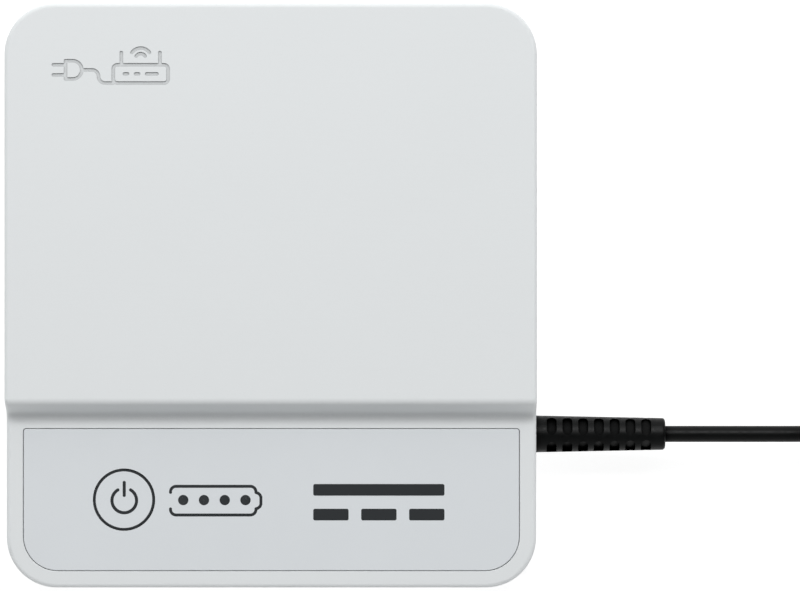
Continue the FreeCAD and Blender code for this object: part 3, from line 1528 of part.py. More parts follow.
# routes from the protection board to the lead plug, measured from the header on the board
# colour, side, start Z, Y where the wire passes over the plug's edge
plug_top = num.lead_plug_lift + num.lead_plug_tall
for colour, side, start_z, crest_y in (("red", -1, 7.0, 6.0), ("black", 1, 1.0, 7.5)):
    end_x = side * num.header_pitch
    route = [
        (-16.6, 11.9, start_z),
        (-13.4, 12.0, start_z + 0.4),
        (-8.6, 11.7, (start_z + plug_top) / 2 + 1.5),
        (end_x - 2.4, crest_y, plug_top + 3.4),
        (end_x, 0, plug_top + 0.14),
    ]
    path = spline(route, start=(1, 0, 0), end=(0, -0.15, -1))
    wire = solid(f"LeadWire{colour}", tube([path], num.lead_wire_r))
    keep(place(wire, header_x, header_y, board_top), f"battery_wire_{colour}")

# ---------------------------------------------------------------- feet and label
feet = []
for i, (side, end) in enumerate(CORNERS):
    foot_blank = cyl(
        f"foot_{i}", dim.foot_r, dim.under_z + dim.foot_seat,
        side * dim.foot_x, end * dim.foot_y, 0.0,
    )
    feet.append(
        round_edges(
            f"foot_rounded_{i}", foot_blank,
            lambda edge: is_level(edge) and edge.BoundBox.ZMin < 0.1
            and edge.BoundBox.XLength > 1,
            0.35,
        )
    )
keep(group("RubberFeet", feet), "rubber_feet")
label_blank = box(
    "label_blank", dim.label_w, dim.label_d, dim.label_t, 0, dim.label_y, dim.under_z + 0.1
)
keep(
    round_edges("RatingLabel", label_blank, lambda edge: edge.BoundBox.ZLength > 0.1, 1.5),
    "rating_label",
)

# ---------------------------------------------------------------- strain relief
# local X runs along the cord from the outer wall face
cord_bore_r = dim.cord_r + dim.cord_bore_gap
collar_r = dim.boot_neck_r + 1.3
boot = turned_body(
    "strain_relief_body", "boot",
    [
        (-dim.skin - 2.4, cord_bore_r),
        (-dim.skin - 2.4, collar_r),
        (-dim.skin - 0.1, collar_r),
        (-dim.skin - 0.1, dim.boot_neck_r),
        (0.05, dim.boot_neck_r),
        (0.05, dim.boot_root_r),
        (dim.boot_len, dim.boot_tip_r),
        (dim.boot_len, cord_bore_r),
    ],
)
soften(
    boot, "Fillet",
    lambda edge: edge.BoundBox.XLength < 1e-3
    and abs(edge.BoundBox.XMin - num.boot_len) < 1e-3
    and abs(edge.BoundBox.YLength - 2 * num.boot_tip_r) < 1e-2,
    0.6, "boot_tip_rounding",
)
plan = sketch(boot, "boot_slot", 5.0)
slot(plan, dim.boot_slot_x, 0.0, dim.boot_slot_len, dim.boot_slot_w, upright=True)
first = pocket(boot, plan, 5.0 - dim.boot_core_r, "boot_slot_cut")
slot_rows(boot, "boot_slot", first, 6 * dim.boot_pitch, count=7, turns=4)
roll = Rotation(Vector(1, 0, 0), 45.0 + num.boot_turn)
place(boot, half_w, dim.cord_y, dim.cord_z, roll)
keep(boot, "output_strain_relief")


# ---------------------------------------------------------------- output cord
def s_bend(start, heading, lift, radius):
    """Two equal arcs that carry a level run up or down by lift; returns edges and end point."""
    angle = math.acos(1 - abs(lift) / (2 * radius))
    up = Vector(0, 0, -1 if lift < 0 else 1)
    full_run, full_climb = 2 * radius * math.sin(angle), abs(lift)

    def point(run, climb):
        return start + heading * run + up * climb

    half_run, half_climb = radius * math.sin(angle / 2), radius * (1 - math.cos(angle / 2))
    first_middle = point(half_run, half_climb)
    joint = point(radius * math.sin(angle), radius * (1 - math.cos(angle)))
    second_middle = point(full_run - half_run, full_climb - half_climb)
    end = point(full_run, full_climb)
    return [arc_edge(start, first_middle, joint), arc_edge(joint, second_middle, end)], end


# straight out, down to the table, round a bend and up into the plug,
# measured from where the cord's axis leaves the outer wall face
plug_x = float(dim.plug_x - half_w)
plug_y = float(dim.plug_y - dim.cord_y)
plug_z = float(dim.plug_z - dim.cord_z)
bend = num.cord_bend_r
rest_z = num.cord_r + 0.05 - num.cord_z
fall_start = Vector(num.cord_reach, 0, 0)
fall, fall_end = s_bend(fall_start, Vector(1, 0, 0), rest_z, num.cord_fall_r)
turn_start = Vector(plug_x - bend, 0, rest_z)
turn_middle = Vector(
    plug_x - bend + bend * math.sin(math.pi / 4), bend - bend * math.cos(math.pi / 4), rest_z
)
turn_end = Vector(plug_x, bend, rest_z)
rise_start = Vector(plug_x, bend + 1.0, rest_z)
climb, climb_end = s_bend(rise_start, Vector(0, 1, 0), plug_z - rest_z, num.cord_rise_r)
cord_end = Vector(plug_x, plug_y - num.grip_len + 6.0, plug_z)
cord_edges = [
    line_edge(Vector(-16.5, 0, 0), fall_start),
    *fall,
    line_edge(fall_end, turn_start),
    arc_edge(turn_start, turn_middle, turn_end),
    line_edge(turn_end, rise_start),
    *climb,
    line_edge(climb_end, cord_end),
]
cord = solid("OutputCord", tube(cord_edges, num.cord_r))
keep(place(cord, half_w, dim.cord_y, dim.cord_z), "output_cord")
# the two cores, from the cord's inner end down to the board
on_board = float(board_top - dim.cord_z) + 0.05
for colour, side in (("red", 1), ("black", -1)):
    y = side * 0.78
    route = [
        (-16.6, y, 0),
        (-18.9, y + side * 0.5, 0.8),
        (-21.9, y + side * 1.5, 1.4),
        (-24.3, y + side * 1.9, 0.9),
        (-25.3, y + side * 1.9, on_board),
    ]
    path = spline(route, start=(-1, 0, 0), end=(0, 0, -1))
    wire = solid(f"OutWire{colour}", tube([path], num.core_wire_r))
    keep(place(wire, half_w, dim.cord_y, dim.cord_z), f"output_wire_{colour}")

# ---------------------------------------------------------------- barrel plug
# modelled along its own X from the front face of the grip, then turned to point along +Y
seat_x = -4.0
inner_x = -3.9  # inner end of the metal parts and the insulator
grip = turned_body(
    "plug_grip_body", "grip",
    [
        (-dim.grip_len, cord_bore_r),
        (-dim.grip_len, 2.3),
        (-17.5, 3.1),
        (-16.6, 3.6),
        (-15.4, dim.plug_r),
        (-1.0, dim.plug_r),
        (0.0, dim.plug_r - 1.0),
        (0.0, dim.barrel_seat_r + 0.03),
        (seat_x, dim.barrel_seat_r + 0.03),
        (seat_x, cord_bore_r),
    ],
)
# strain-relief slots in the tail and grip grooves round the body
plan = sketch(grip, "tail_slot", 5.0)
slot(plan, -27.6, 0.0, 3.6, 1.1, upright=True)
first = pocket(grip, plan, 3.1, "tail_slot_cut")
slot_rows(grip, "tail_slot", first, 8.8, count=5, turns=2)
plan = sketch(grip, "grip_flute", -14.0, "YZ")
circle(plan, dim.plug_r + 0.55, 0.0, 0.8)
flute = pocket(grip, plan, 11.0, "grip_flute_cut", reverse=True)
flutes = grip.newObject("PartDesign::PolarPattern", "grip_flutes")
flutes.Originals = [flute]
set_turns(flutes, grip, 16)
grip.Tip = flutes
checked(flutes, "grip flutes")

sleeve = turned_body(
    "plug_sleeve_body", "sleeve",
    [
        (inner_x, 2.35),
        (inner_x, dim.barrel_seat_r),
        (0.12, dim.barrel_seat_r),
        (0.12, dim.barrel_r),
        (dim.barrel_len - 0.3, dim.barrel_r),
        (dim.barrel_len, dim.barrel_r - 0.3),
        (dim.barrel_len, 2.35),
    ],
)
insulator = turned_body(
    "plug_insulator_body", "insulator",
    [
        (inner_x, 1.47),
        (inner_x, 2.33),
        (dim.barrel_len + 0.25, 2.33),
        (dim.barrel_len + 0.25, 1.8),
        (dim.barrel_len - 0.1, 1.47),
    ],
)
contact = turned_body(
    "plug_contact_body", "contact",
    [
        (inner_x, 0.0),
        (inner_x, 1.45),
        (dim.barrel_len - 0.3, 1.45),
        (dim.barrel_len - 0.3, dim.barrel_bore_r),
        (dim.barrel_len - 9.3, dim.barrel_bore_r),
        (dim.barrel_len - 9.3, 0.0),
    ],
)
for body, label in (
    (grip, "plug_grip"),
    (sleeve, "plug_barrel_sleeve"),
    (insulator, "plug_insulator"),
    (contact, "plug_inner_contact"),
):
    place(body, dim.plug_x, dim.plug_y, dim.plug_z, Rotation(Vector(0, 0, 1), 90))
    keep(body, label)

# ---------------------------------------------------------------- state check and export
doc.recompute()
for obj in doc.Objects:
    if "Invalid" in obj.State or "Error" in obj.State:
        raise RuntimeError(f"{obj.Name} ({obj.Label}) is {obj.State}")
os.makedirs("parts", exist_ok=True)
for label, obj in sorted(NODES.items()):
    shape = obj.Shape
    if shape.isNull() or not shape.isValid() or not shape.Solids:
        raise RuntimeError(f"{label} has no valid shape")
    if any(part.Volume <= 0 for part in shape.Solids):
        raise RuntimeError(f"{label} holds a solid with no volume")
    shape.exportStep(f"parts/{label}.step")
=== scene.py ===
"""A small electronic device in a pale plastic case, with its circuit board and battery parts.

It lies flat on the floor at z = 0, centred near the origin, with its rating label underneath.
The front is towards -Y. The camera looks straight down.
The script gives every CAD piece a procedural material and adds three fine details.
"""
import json
import math

import bmesh
import bpy
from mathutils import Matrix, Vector


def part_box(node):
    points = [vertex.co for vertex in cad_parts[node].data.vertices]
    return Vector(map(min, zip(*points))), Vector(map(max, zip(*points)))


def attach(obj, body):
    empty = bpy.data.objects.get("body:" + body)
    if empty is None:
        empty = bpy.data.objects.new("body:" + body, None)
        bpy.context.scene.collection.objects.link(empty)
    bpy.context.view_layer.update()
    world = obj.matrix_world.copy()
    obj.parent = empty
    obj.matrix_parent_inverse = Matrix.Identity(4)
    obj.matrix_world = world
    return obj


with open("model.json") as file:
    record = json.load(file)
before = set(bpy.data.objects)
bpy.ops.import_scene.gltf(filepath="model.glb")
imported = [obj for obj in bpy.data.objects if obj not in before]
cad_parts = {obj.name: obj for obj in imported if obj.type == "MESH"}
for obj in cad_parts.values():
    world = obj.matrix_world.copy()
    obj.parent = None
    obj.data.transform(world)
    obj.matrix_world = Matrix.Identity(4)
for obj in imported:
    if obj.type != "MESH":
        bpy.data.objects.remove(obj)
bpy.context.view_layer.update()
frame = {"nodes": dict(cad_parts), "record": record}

MM = 0.001
scene = bpy.context.scene


# ------------------------------------------------------------------ shader helpers
def feed(node, inputs):
    """Link each socket given in inputs, and set every other value as a default."""
    for key, value in inputs.items():
        if isinstance(value, bpy.types.NodeSocket):
            node.id_data.links.new(value, node.inputs[key])
        else:
            node.inputs[key].default_value = value


def add(tree, kind, inputs=None, **settings):
    node = tree.nodes.new(kind)
    for key, value in settings.items():
        setattr(node, key, value)
    feed(node, inputs or {})
    return node


def calc(tree, operation, *values, clamp=False):
    node = add(tree, "ShaderNodeMath", dict(enumerate(values)),
               operation=operation, use_clamp=clamp)
    return node.outputs[0]


def new_material(name):
    material = bpy.data.materials.new(name)
    material.use_nodes = True
    tree = material.node_tree
    tree.nodes.clear()
    output = add(tree, "ShaderNodeOutputMaterial")
    bsdf = add(tree, "ShaderNodeBsdfPrincipled")
    feed(output, {"Surface": bsdf.outputs["BSDF"]})
    return material, tree, bsdf


def linear(colour):
    """Linear values of an 8-bit sRGB colour."""
    def channel(c):
        c = c / 255.0
        return c / 12.92 if c <= 0.04045 else ((c + 0.055) / 1.055) ** 2.4

    return tuple(channel(c) for c in colour)


def shade(colour, gain, lift=0.0, limit=math.inf):
    """RGBA of a linear colour times gain (one number or one per channel) plus lift."""
    gains = gain if isinstance(gain, tuple) else (gain,) * 3
    return (*(min(limit, c * g + lift) for c, g in zip(colour, gains)), 1.0)


def position(tree):
    return add(tree, "ShaderNodeTexCoord").outputs["Object"]


def noise(tree, scale, detail=3.0, rough=0.5, stretch=None, distortion=0.0):
    place = position(tree)
    if stretch:
        mapping = add(tree, "ShaderNodeMapping", {"Scale": stretch, "Vector": place})
        place = mapping.outputs["Vector"]
    texture = add(tree, "ShaderNodeTexNoise", {
        "Scale": scale, "Detail": detail, "Roughness": rough,
        "Distortion": distortion, "Vector": place,
    })
    return texture.outputs["Fac"]


def ramp(tree, value, low, high, at=(0.3, 0.7)):
    """Blend from colour low to colour high between the two positions in at."""
    node = add(tree, "ShaderNodeValToRGB", {"Fac": value})
    for stop, place, colour in zip(node.color_ramp.elements, at, (low, high)):
        stop.position = place
        stop.color = colour
    return node.outputs["Color"]


def spread(tree, value, to, over=(0.3, 0.7)):
    """Map the range over onto the range to."""
    node = add(tree, "ShaderNodeMapRange", {
        "From Min": over[0], "From Max": over[1],
        "To Min": to[0], "To Max": to[1], "Value": value,
    })
    return node.outputs["Result"]


def mix(tree, factor, first, second):
    # on a colour Mix node, 0 is the factor and 6 and 7 are the colours
    node = add(tree, "ShaderNodeMix", data_type="RGBA")
    feed(node, {0: factor, 6: first, 7: second})
    return node.outputs[2]


def bump(tree, bsdf, *layers):
    """Chain of bumps; each layer is (height socket, distance in metres, strength)."""
    surface = {}
    for height, distance, strength in layers:
        node = add(tree, "ShaderNodeBump", {
            "Strength": strength, "Distance": distance, "Height": height, **surface,
        })
        surface = {"Normal": node.outputs["Normal"]}
    feed(bsdf, surface)


def edge_mask(tree, radius):
    """Where the surface turns sharply: the bevelled normal leaves the true normal."""
    bevel = add(tree, "ShaderNodeBevel", {"Radius": radius}, samples=3)
    geometry = add(tree, "ShaderNodeNewGeometry")
    dot = add(tree, "ShaderNodeVectorMath",
              {0: bevel.outputs["Normal"], 1: geometry.outputs["Normal"]},
              operation="DOT_PRODUCT")
    turn = calc(tree, "SUBTRACT", 1.0, dot.outputs["Value"])
    return spread(tree, turn, to=(0.0, 1.0), over=(0.02, 0.25))


def mix_wear_and_glint_edges(tree, colour, wear_and_glint_colour, amount, radius):
    """Mix a brighter colour in along sharp edges: partly wear, partly a painted highlight."""
    return mix(tree, calc(tree, "MULTIPLY", edge_mask(tree, radius), amount), colour, wear_and_glint_colour)


def painted_occlusion_shade(tree, amount, distance, samples, over):
    """Painted shade: rises to amount in inner corners, where ambient occlusion is low; over is
    the range of occlusion it covers.
    """
    occlusion = add(tree, "ShaderNodeAmbientOcclusion", {"Distance": distance}, samples=samples)
    return spread(tree, occlusion.outputs["AO"], to=(amount, 0.0), over=over)


# ------------------------------------------------------------------ kinds of material
# base is an 8-bit sRGB colour; grain, lines and scratch are bump depths in metres
def plastic(name, base, rough, grain, grain_scale, tint=0.02, spec=0.5, edge=0.08,
            rough_var=0.06, coat=0.0, lines=0.0, corner_shade_amount=0.0):
    """Moulded plastic: fine grain, uneven gloss, specks, slightly brighter edges (wear and a
    painted highlight) and optional painted shade in inner corners.
    """
    material, tree, bsdf = new_material(name)
    base = linear(base)
    cloud = noise(tree, scale=38.0, detail=4.0, rough=0.55)
    colour = ramp(tree, cloud, low=shade(base, 1 - tint), high=shade(base, 1 + tint, limit=1),
                  at=(0.25, 0.75))
    speck = noise(tree, scale=5200.0, detail=2.0, rough=0.6)
    speck = spread(tree, speck, to=(0.0, 0.16), over=(0.55, 0.72))
    colour = mix(tree, speck, colour, shade(base, 0.88))
    # brighter edges: partly wear, partly a painted highlight
    wear_and_glint_colour = shade(base, 1.15, lift=0.03, limit=1)
    colour = mix_wear_and_glint_edges(tree, colour, wear_and_glint_colour, amount=edge, radius=0.0004)
    if corner_shade_amount:
        # painted shade: inner corners are darkened from ambient occlusion, standing in for the
        # shade that falls there
        corner_shade_mix = painted_occlusion_shade(tree, corner_shade_amount, distance=0.003, samples=8, over=(0.72, 0.96))
        colour = mix(tree, corner_shade_mix, colour, shade(base, 0.5))
    gloss = noise(tree, scale=160.0, detail=5.0, rough=0.6)
    feed(bsdf, {
        "Base Color": colour,
        "Roughness": spread(tree, gloss, to=(rough - rough_var, rough + rough_var)),
        "Specular IOR Level": spec,
    })
    if coat:
        feed(bsdf, {"Coat Weight": coat, "Coat Roughness": 0.25})
    layers = [
        (noise(tree, scale=grain_scale, detail=2.0), grain, 0.6),
        (noise(tree, scale=420.0, detail=2.0), grain * 2.0, 0.25),
    ]
    if lines:
        # streaks drawn out along X
        streaks = noise(tree, scale=900.0, detail=2.0, rough=0.45, stretch=(0.10, 2.4, 2.4))
        layers.append((streaks, lines, 0.6))
    bump(tree, bsdf, *layers)
    return material


def rubber(name, base, rough, grain=0.000012, edge=0.12, recess_shade_amount=0.0, spec=0.16):
    """Soft matt skin with a trace of dust and brighter edges (wear and a painted glint); the
    recesses get painted shade.
    """
    material, tree, bsdf = new_material(name)
    base = linear(base)
    cloud = noise(tree, scale=240.0, detail=4.0, rough=0.6)
    colour = ramp(tree, cloud, low=shade(base, 0.8), high=shade(base, 1.3))
    dust = noise(tree, scale=1900.0, detail=3.0, rough=0.65)
    dust = spread(tree, dust, to=(0.0, 0.04), over=(0.62, 0.78))
    colour = mix(tree, dust, colour, (0.10, 0.10, 0.098, 1))
    # brighter edges: partly wear, partly a painted glint
    wear_and_glint_colour = shade(base, 2.6, lift=0.02)
    colour = mix_wear_and_glint_edges(tree, colour, wear_and_glint_colour, amount=edge, radius=0.00025)
    shine = spec
    if recess_shade_amount:
        # painted shade: the recesses are darkened from ambient occlusion and their specular is
        # lowered there, standing in for the shade inside them
        recess_shade_mix = painted_occlusion_shade(tree, recess_shade_amount, distance=0.0016, samples=6, over=(0.45, 0.95))
        colour = mix(tree, recess_shade_mix, colour, shade(base, 0.12))
        shine = calc(tree, "MULTIPLY_ADD", recess_shade_mix, -spec, spec)
    gloss = noise(tree, scale=900.0, detail=4.0, rough=0.6)
    feed(bsdf, {
        "Base Color": colour,
        "Roughness": spread(tree, gloss, to=(rough - 0.09, rough + 0.09)),
        "Specular IOR Level": shine,
    })
    bump(tree, bsdf,
         (noise(tree, scale=7000.0, detail=3.0, rough=0.6), grain, 0.6),
         (noise(tree, scale=500.0, detail=2.0), grain * 3, 0.2))
    return material


def metal(name, base, rough, brushed=(1, 1, 1)):
    """Bare metal with faint tarnish; brushed stretches the scratches per axis."""
    scratch = 0.000004
    tarnish = 0.12
    material, tree, bsdf = new_material(name)
    base = linear(base)
    dull = (1 - tarnish, 1 - tarnish, 1 - tarnish * 1.3)
    cloud = noise(tree, scale=700.0, detail=4.0, rough=0.6)
    gloss = noise(tree, scale=1500.0, detail=5.0, rough=0.65, stretch=brushed)
    feed(bsdf, {
        "Base Color": ramp(tree, cloud, low=shade(base, dull), high=shade(base, 1.0)),
        "Metallic": 1.0,
        "Roughness": spread(tree, gloss, to=(rough - 0.08, rough + 0.10)),
    })
    bump(tree, bsdf,
         (noise(tree, scale=4200.0, detail=3.0, rough=0.6, stretch=brushed), scratch, 0.55),
         (edge_mask(tree, radius=0.0002), scratch * 2, 0.2))
    return material


def laminate(name, base):
    """Woven circuit board with a net of paler tracks."""
    material, tree, bsdf = new_material(name)
    base = linear(base)
    weave = noise(tree, scale=2400.0, detail=2.0, stretch=(1.0, 0.2, 1.0))
    colour = ramp(tree, weave, low=shade(base, (0.7, 0.8, 0.7)),
                  high=shade(base, (1.2, 1.15, 1.2)))
    cells = add(tree, "ShaderNodeTexVoronoi", feature="DISTANCE_TO_EDGE")
    feed(cells, {"Scale": 260.0, "Vector": position(tree)})
    border = cells.outputs["Distance"]
    tracks = spread(tree, border, to=(0.6, 0.0), over=(0.02, 0.05))
    feed(bsdf, {
        "Base Color": mix(tree, tracks, colour, shade(base, (2.0, 1.5, 1.7))),
        "Roughness": spread(tree, noise(tree, scale=500.0), to=(0.26, 0.42)),
    })
    bump(tree, bsdf, (border, 0.00003, 0.25), (weave, 0.000008, 0.3))
    return material


def paperish(name, base):
    """Fibrous paper or card."""
    material, tree, bsdf = new_material(name)
    base = linear(base)
    fibre = noise(tree, scale=1800.0, detail=6.0, rough=0.7, stretch=(1.0, 0.35, 1.0),
                  distortion=0.6)
    feed(bsdf, {
        "Base Color": ramp(tree, fibre, low=shade(base, (0.86, 0.85, 0.82)),
                           high=shade(base, (1.06, 1.06, 1.05))),
        "Roughness": spread(tree, fibre, to=(0.55, 0.8)),
    })
    bump(tree, bsdf, (fibre, 0.00001, 0.5))
    return material


def smoked(name):
    """Dark, slightly clear plastic."""
    material, tree, bsdf = new_material(name)
    feed(bsdf, {
        "Base Color": ramp(tree, noise(tree, scale=300.0), low=(0.035, 0.04, 0.043, 1),
                           high=(0.055, 0.06, 0.064, 1)),
        "Roughness": spread(tree, noise(tree, scale=900.0), to=(0.16, 0.3)),
        "Transmission Weight": 0.12,
    })
    bump(tree, bsdf, (noise(tree, scale=2500.0), 0.000004, 0.3))
    return material


# material slot: (kind, its look)
LOOKS = {
    # shell_plastic: the inner-corner darkening set here is painted shade
    "shell_plastic": (plastic, dict(
        base=(236, 239, 240), rough=0.50, grain=0.000010, grain_scale=7600.0, tint=0.004,
        spec=0.42, edge=0.04, rough_var=0.04, lines=0.000010, corner_shade_amount=0.6)),
    "fascia_plastic": (plastic, dict(
        base=(230, 234, 237), rough=0.40, grain=0.000004, grain_scale=9000.0, tint=0.008,
        edge=0.05, rough_var=0.04)),
    "mark_ink": (plastic, dict(
        base=(36, 40, 43), rough=0.55, grain=0.000004, grain_scale=8000.0, tint=0.05,
        spec=0.35, edge=0.0)),
    "light_guide": (smoked, {}),
    # soft_black: the recess darkening set here is painted shade in the boot's slots
    "soft_black": (rubber, dict(base=(7, 8, 8), rough=0.42, edge=0.08, recess_shade_amount=0.9, spec=0.14)),
    "foot_rubber": (rubber, dict(base=(58, 58, 59), rough=0.75)),
    "board_laminate": (laminate, dict(base=(24, 92, 56))),
    "black_plastic": (plastic, dict(
        base=(34, 34, 35), rough=0.45, grain=0.000008, grain_scale=6000.0, tint=0.08)),
    "white_plastic": (plastic, dict(
        base=(232, 229, 216), rough=0.42, grain=0.000006, grain_scale=6000.0)),
    "nickel": (metal, dict(base=(214, 210, 202), rough=0.22)),
    "steel": (metal, dict(base=(188, 190, 194), rough=0.34)),
    "tin": (metal, dict(base=(200, 200, 202), rough=0.38)),
    "can_aluminium": (metal, dict(base=(206, 208, 212), rough=0.30, brushed=(1, 1, 6))),
    "lamp_resin": (plastic, dict(
        base=(238, 236, 214), rough=0.2, grain=0.000003, grain_scale=4000.0, coat=0.4)),
    "ferrite": (plastic, dict(
        base=(70, 71, 73), rough=0.6, grain=0.00002, grain_scale=3800.0, tint=0.12)),
    "cell_sleeve": (plastic, dict(
        base=(58, 128, 158), rough=0.28, grain=0.000006, grain_scale=1400.0, tint=0.04,
        coat=0.5)),
    "kraft": (paperish, dict(base=(178, 158, 122))),
    "foam": (rubber, dict(base=(78, 78, 80), rough=0.85, grain=0.00008)),
    "wire_red": (rubber, dict(base=(182, 32, 30), rough=0.42)),
    "wire_black": (rubber, dict(base=(30, 30, 31), rough=0.42)),
    "label_stock": (paperish, dict(base=(206, 208, 212))),
    "glue": (rubber, dict(base=(208, 206, 198), rough=0.4)),
    "chip_ceramic": (plastic, dict(
        base=(176, 150, 116), rough=0.5, grain=0.000008, grain_scale=5000.0, tint=0.10)),
}
MATERIALS = {name: kind(name, **look) for name, (kind, look) in LOOKS.items()}


def dress_cad_pieces():
    slots = {part["node"]: part["material_slot"] for part in frame["record"]["subparts"]}
    for name, piece in frame["nodes"].items():
        slot = slots[name]
        piece.data.materials.clear()
        piece.data.materials.append(MATERIALS[slot])


dress_cad_pieces()


# ------------------------------------------------------------------ added pieces, in mm
def box_mm(name):
    """Low and high corners of a CAD piece, in mm."""
    return [(corner.x / MM, corner.y / MM, corner.z / MM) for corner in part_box(name)]


def mesh_piece(name, points, faces, material, smooth=True):
    """Object built from points in mm, riding on the case."""
    mesh = bpy.data.meshes.new(name)
    mesh.from_pydata([(x * MM, y * MM, z * MM) for x, y, z in points], [], faces)
    mesh.validate()
    piece = bpy.data.objects.new(name, mesh)
    scene.collection.objects.link(piece)
    for face in mesh.polygons:
        face.use_smooth = smooth
    mesh.materials.append(material)
    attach(piece, "case")


def circle(count):
    """Cosine and sine of evenly spaced angles."""
    angles = [2 * math.pi * i / count for i in range(count)]
    return [(math.cos(angle), math.sin(angle)) for angle in angles]


def add_loft(points, faces, rings, cap_start):
    """Join rings of points into a skin, closed at the last ring and optionally at the first."""
    base, sides = len(points), len(rings[0])
    for ring in rings:
        points.extend(ring)
    for row in range(len(rings) - 1):
        low = base + row * sides
        high = low + sides
        for i in range(sides):
            j = (i + 1) % sides
            faces.append((low + i, low + j, high + j, high + i))
    if cap_start:
        faces.append(tuple(base + i for i in reversed(range(sides))))
    last = base + (len(rings) - 1) * sides
    faces.append(tuple(last + i for i in range(sides)))


def solder_fillets():
    """A solder mound on the board beyond each X end of the battery header."""
    radius = 0.9
    gap = 1.2
    sides = 14
    # (share of the radius, height above the board)
    profile = [(1.0, 0.02), (0.82, 0.10), (0.58, 0.22), (0.30, 0.40), (0.12, 0.52)]
    board_top = box_mm("main_circuit_board")[1][2]
    (left, near, _), (right, far, _) = box_mm("battery_header")
    cy = (near + far) / 2
    points, faces = [], []
    for cx in (left - gap, right + gap):
        rings = [
            [(cx + share * radius * c, cy + share * radius * s, board_top + height)
             for c, s in circle(sides)]
            for share, height in profile
        ]
        add_loft(points, faces, rings, cap_start=False)
    mesh_piece("solder_fillets", points, faces, MATERIALS["tin"])


def choke_turns():
    """A flat spiral of copper wire half sunk in the top face of each choke."""
    end_inset = 6.15  # spiral centre from each Y end of the pair of chokes
    turns, steps_per_turn = 5, 28
    inner_radius, outer_radius = 1.6, 4.3
    wire_radius, wire_sides = 0.24, 6
    flatten = 0.6
    rise = 0.02
    (left, near, _), (right, far, top) = box_mm("power_inductors")
    cx = (left + right) / 2
    steps = turns * steps_per_turn
    points, faces = [], []
    for cy in (near + end_inset, far - end_inset):
        rings = []
        for step in range(steps + 1):
            angle = 2 * math.pi * step / steps_per_turn
            along = inner_radius + (outer_radius - inner_radius) * step / steps
            ring = []
            for c, s in circle(wire_sides):
                out = along + wire_radius * c
                ring.append((cx + out * math.cos(angle), cy + out * math.sin(angle),
                             top + rise + wire_radius * s * flatten))
            rings.append(ring)
        add_loft(points, faces, rings, cap_start=True)
    copper = metal("copper", base=(196, 118, 72), rough=0.3)
    mesh_piece("choke_copper_turns", points, faces, copper)


def label_rules():
    """Blank form printed under the label: a border and three empty rules."""
    ink = 0.012
    margin = 1.6
    border = 0.28
    rule_inset, rule_width, rows = 1.6, 0.16, 4
    (left, near, bottom), (right, far, _) = box_mm("rating_label")
    x0, x1 = left + margin, right - margin
    y0, y1 = near + margin, far - margin
    strips = [  # x from, x to, y from, y to
        (x0, x1, y0, y0 + border),
        (x0, x1, y1 - border, y1),
        (x0, x0 + border, y0, y1),
        (x1 - border, x1, y0, y1),
    ]
    for row in range(1, rows):
        y = y0 + (y1 - y0) * row / rows
        strips.append((x0 + rule_inset, x1 - rule_inset, y, y + rule_width))

    # the underside and four sides of a strip; the side against the label stays open
    strip_faces = [(3, 2, 1, 0), (0, 1, 5, 4), (1, 2, 6, 5), (2, 3, 7, 6), (3, 0, 4, 7)]
    under = bottom - ink
    points, faces = [], []
    for xa, xb, ya, yb in strips:
        base = len(points)
        for z in (under, under + ink):
            points.extend([(xa, ya, z), (xb, ya, z), (xb, yb, z), (xa, yb, z)])
        faces.extend(tuple(base + i for i in face) for face in strip_faces)
    mesh_piece("label_blank_rules", points, faces, MATERIALS["mark_ink"],
               smooth=False)


solder_fillets()
choke_turns()
label_rules()


# ------------------------------------------------------------------ floor
def floor_material():
    glow = 0.88
    shadowed_patch_glow = 0.50
    material, tree, bsdf = new_material("pale_floor")
    cloud = noise(tree, scale=6.0, detail=2.0)
    # painted shadow: the patch covered by the body glows less, standing in for the contact
    # shadow a real table would have there
    low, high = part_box("bottom_case")
    place = add(tree, "ShaderNodeSeparateXYZ", {0: position(tree)})
    reach = [
        calc(tree, "DIVIDE", calc(tree, "ABSOLUTE", place.outputs[axis]), half)
        for axis, half in (("X", (high.x - low.x) / 2), ("Y", (high.y - low.y) / 2))
    ]
    farthest = calc(tree, "MAXIMUM", *reach)
    feed(bsdf, {
        "Base Color": ramp(tree, cloud, low=(0.30, 0.30, 0.30, 1), high=(0.31, 0.31, 0.31, 1),
                           at=(0.2, 0.8)),
        "Roughness": 0.95,
        "Specular IOR Level": 0.0,
        "Emission Color": (1, 1, 1, 1),
        "Emission Strength": spread(tree, farthest, to=(shadowed_patch_glow, glow), over=(0.86, 0.99)),
    })
    # seen from underneath the floor is clear, so the object's base can be looked at
    clear = add(tree, "ShaderNodeBsdfTransparent")
    geometry = add(tree, "ShaderNodeNewGeometry")
    pick = add(tree, "ShaderNodeMixShader", {
        0: geometry.outputs["Backfacing"], 1: bsdf.outputs["BSDF"], 2: clear.outputs["BSDF"],
    })
    output = next(node for node in tree.nodes if node.type == "OUTPUT_MATERIAL")
    feed(output, {"Surface": pick.outputs["Shader"]})
    return material


def add_floor():
    half = 6.0
    drop = 0.00002  # just below the feet
    material = floor_material()
    mesh = bpy.data.meshes.new("pale_floor")
    sheet = bmesh.new()
    corners = ((-half, -half), (half, -half), (half, half), (-half, half))
    sheet.faces.new([sheet.verts.new((x, y, -drop)) for x, y in corners])
    sheet.to_mesh(mesh)
    sheet.free()
    floor = bpy.data.objects.new("pale_floor", mesh)
    scene.collection.objects.link(floor)
    mesh.materials.append(material)


# ------------------------------------------------------------------ world, light, camera
def set_view():
    view = scene.view_settings
    view.view_transform = "Standard"
    view.look = "None"
    view.exposure = 0.0
    view.gamma = 1.0


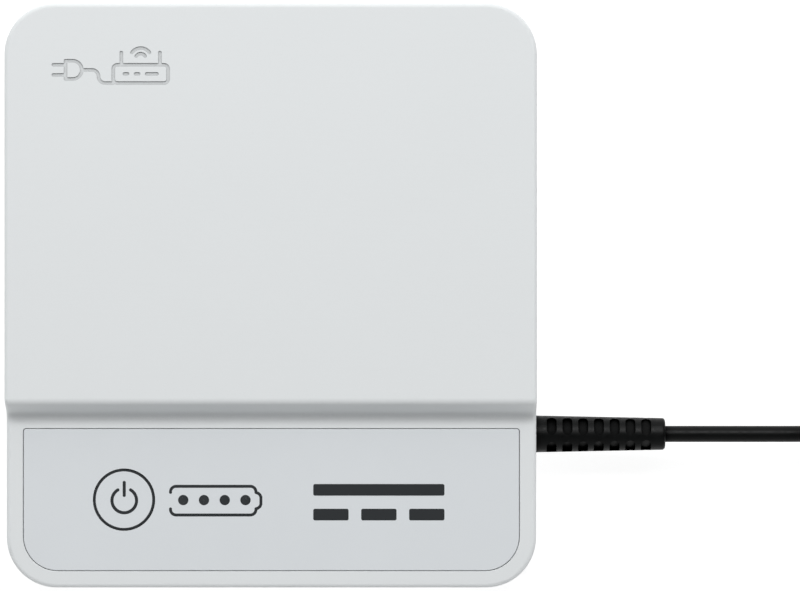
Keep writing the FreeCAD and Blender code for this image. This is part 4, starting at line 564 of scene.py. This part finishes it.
def add_world():
    """The camera sees a plain pale sky; the object is lit by two low lobes."""
    uniform, front, back = 0.03, 0.73, 1.10  # strengths
    world = bpy.data.worlds.new("soft_studio")
    scene.world = world
    world.use_nodes = True
    tree = world.node_tree
    tree.nodes.clear()
    output = add(tree, "ShaderNodeOutputWorld")
    lighting = add(tree, "ShaderNodeBackground", {"Color": (0.985, 0.995, 1.0, 1.0)})
    sky = add(tree, "ShaderNodeBackground", {"Color": (0.93, 0.94, 0.95, 1.0), "Strength": 1.0})
    path = add(tree, "ShaderNodeLightPath")
    pick = add(tree, "ShaderNodeMixShader", {
        0: path.outputs["Is Camera Ray"], 1: lighting.outputs[0], 2: sky.outputs[0],
    })
    feed(output, {0: pick.outputs[0]})
    coordinates = add(tree, "ShaderNodeTexCoord")
    direction = add(tree, "ShaderNodeSeparateXYZ", {0: coordinates.outputs["Generated"]})
    y, z = direction.outputs["Y"], direction.outputs["Z"]

    def lobe(lean_y, lean_z=0.34, sharpness=3.0):
        """A soft patch of light centred on the direction (0, lean_y, lean_z)."""
        facing = calc(tree, "ADD", calc(tree, "MULTIPLY", y, lean_y),
                      calc(tree, "MULTIPLY", z, lean_z))
        return calc(tree, "POWER", calc(tree, "MAXIMUM", facing, 0.0), sharpness)

    front_lobe = lobe(lean_y=-0.94)
    back_lobe = lobe(lean_y=0.94)
    # the even light fades by 0.9 in a disc straight overhead, from z = 0.8 up to 1
    disc = calc(tree, "MULTIPLY_ADD", z, 5.0, -4.0, clamp=True)
    even = calc(tree, "SUBTRACT", 1.0, calc(tree, "MULTIPLY", disc, 0.9))
    level = calc(tree, "MULTIPLY", even, uniform)
    level = calc(tree, "MULTIPLY_ADD", front_lobe, front, level)
    level = calc(tree, "MULTIPLY_ADD", back_lobe, back, level)
    feed(lighting, {"Strength": level})


def add_softbox():
    """One rectangular light, above and behind the object."""
    place = Vector((0.0, 0.60, 1.06))
    target = Vector((0.0, 0.0, 0.02))
    light = bpy.data.lights.new("back_softbox", "AREA")
    light.shape = "RECTANGLE"
    light.size, light.size_y = 1.0, 0.42
    light.energy = 9.6
    softbox = bpy.data.objects.new("back_softbox", light)
    scene.collection.objects.link(softbox)
    softbox.location = place
    softbox.rotation_mode = "QUATERNION"
    softbox.rotation_quaternion = (target - place).to_track_quat("-Z", "Y")


def add_camera():
    """Long lens, straight above and looking down."""
    lens = bpy.data.cameras.new("camera")
    lens.lens = 217.0
    lens.sensor_width = 36.0
    lens.clip_start, lens.clip_end = 0.05, 20.0
    camera = bpy.data.objects.new("camera", lens)
    scene.collection.objects.link(camera)
    camera.location = (0.02549, 0.000158, 0.978)
    camera.rotation_euler = (0.0, 0.0, 0.0)
    scene.camera = camera


add_floor()
set_view()
add_world()
add_softbox()
add_camera()
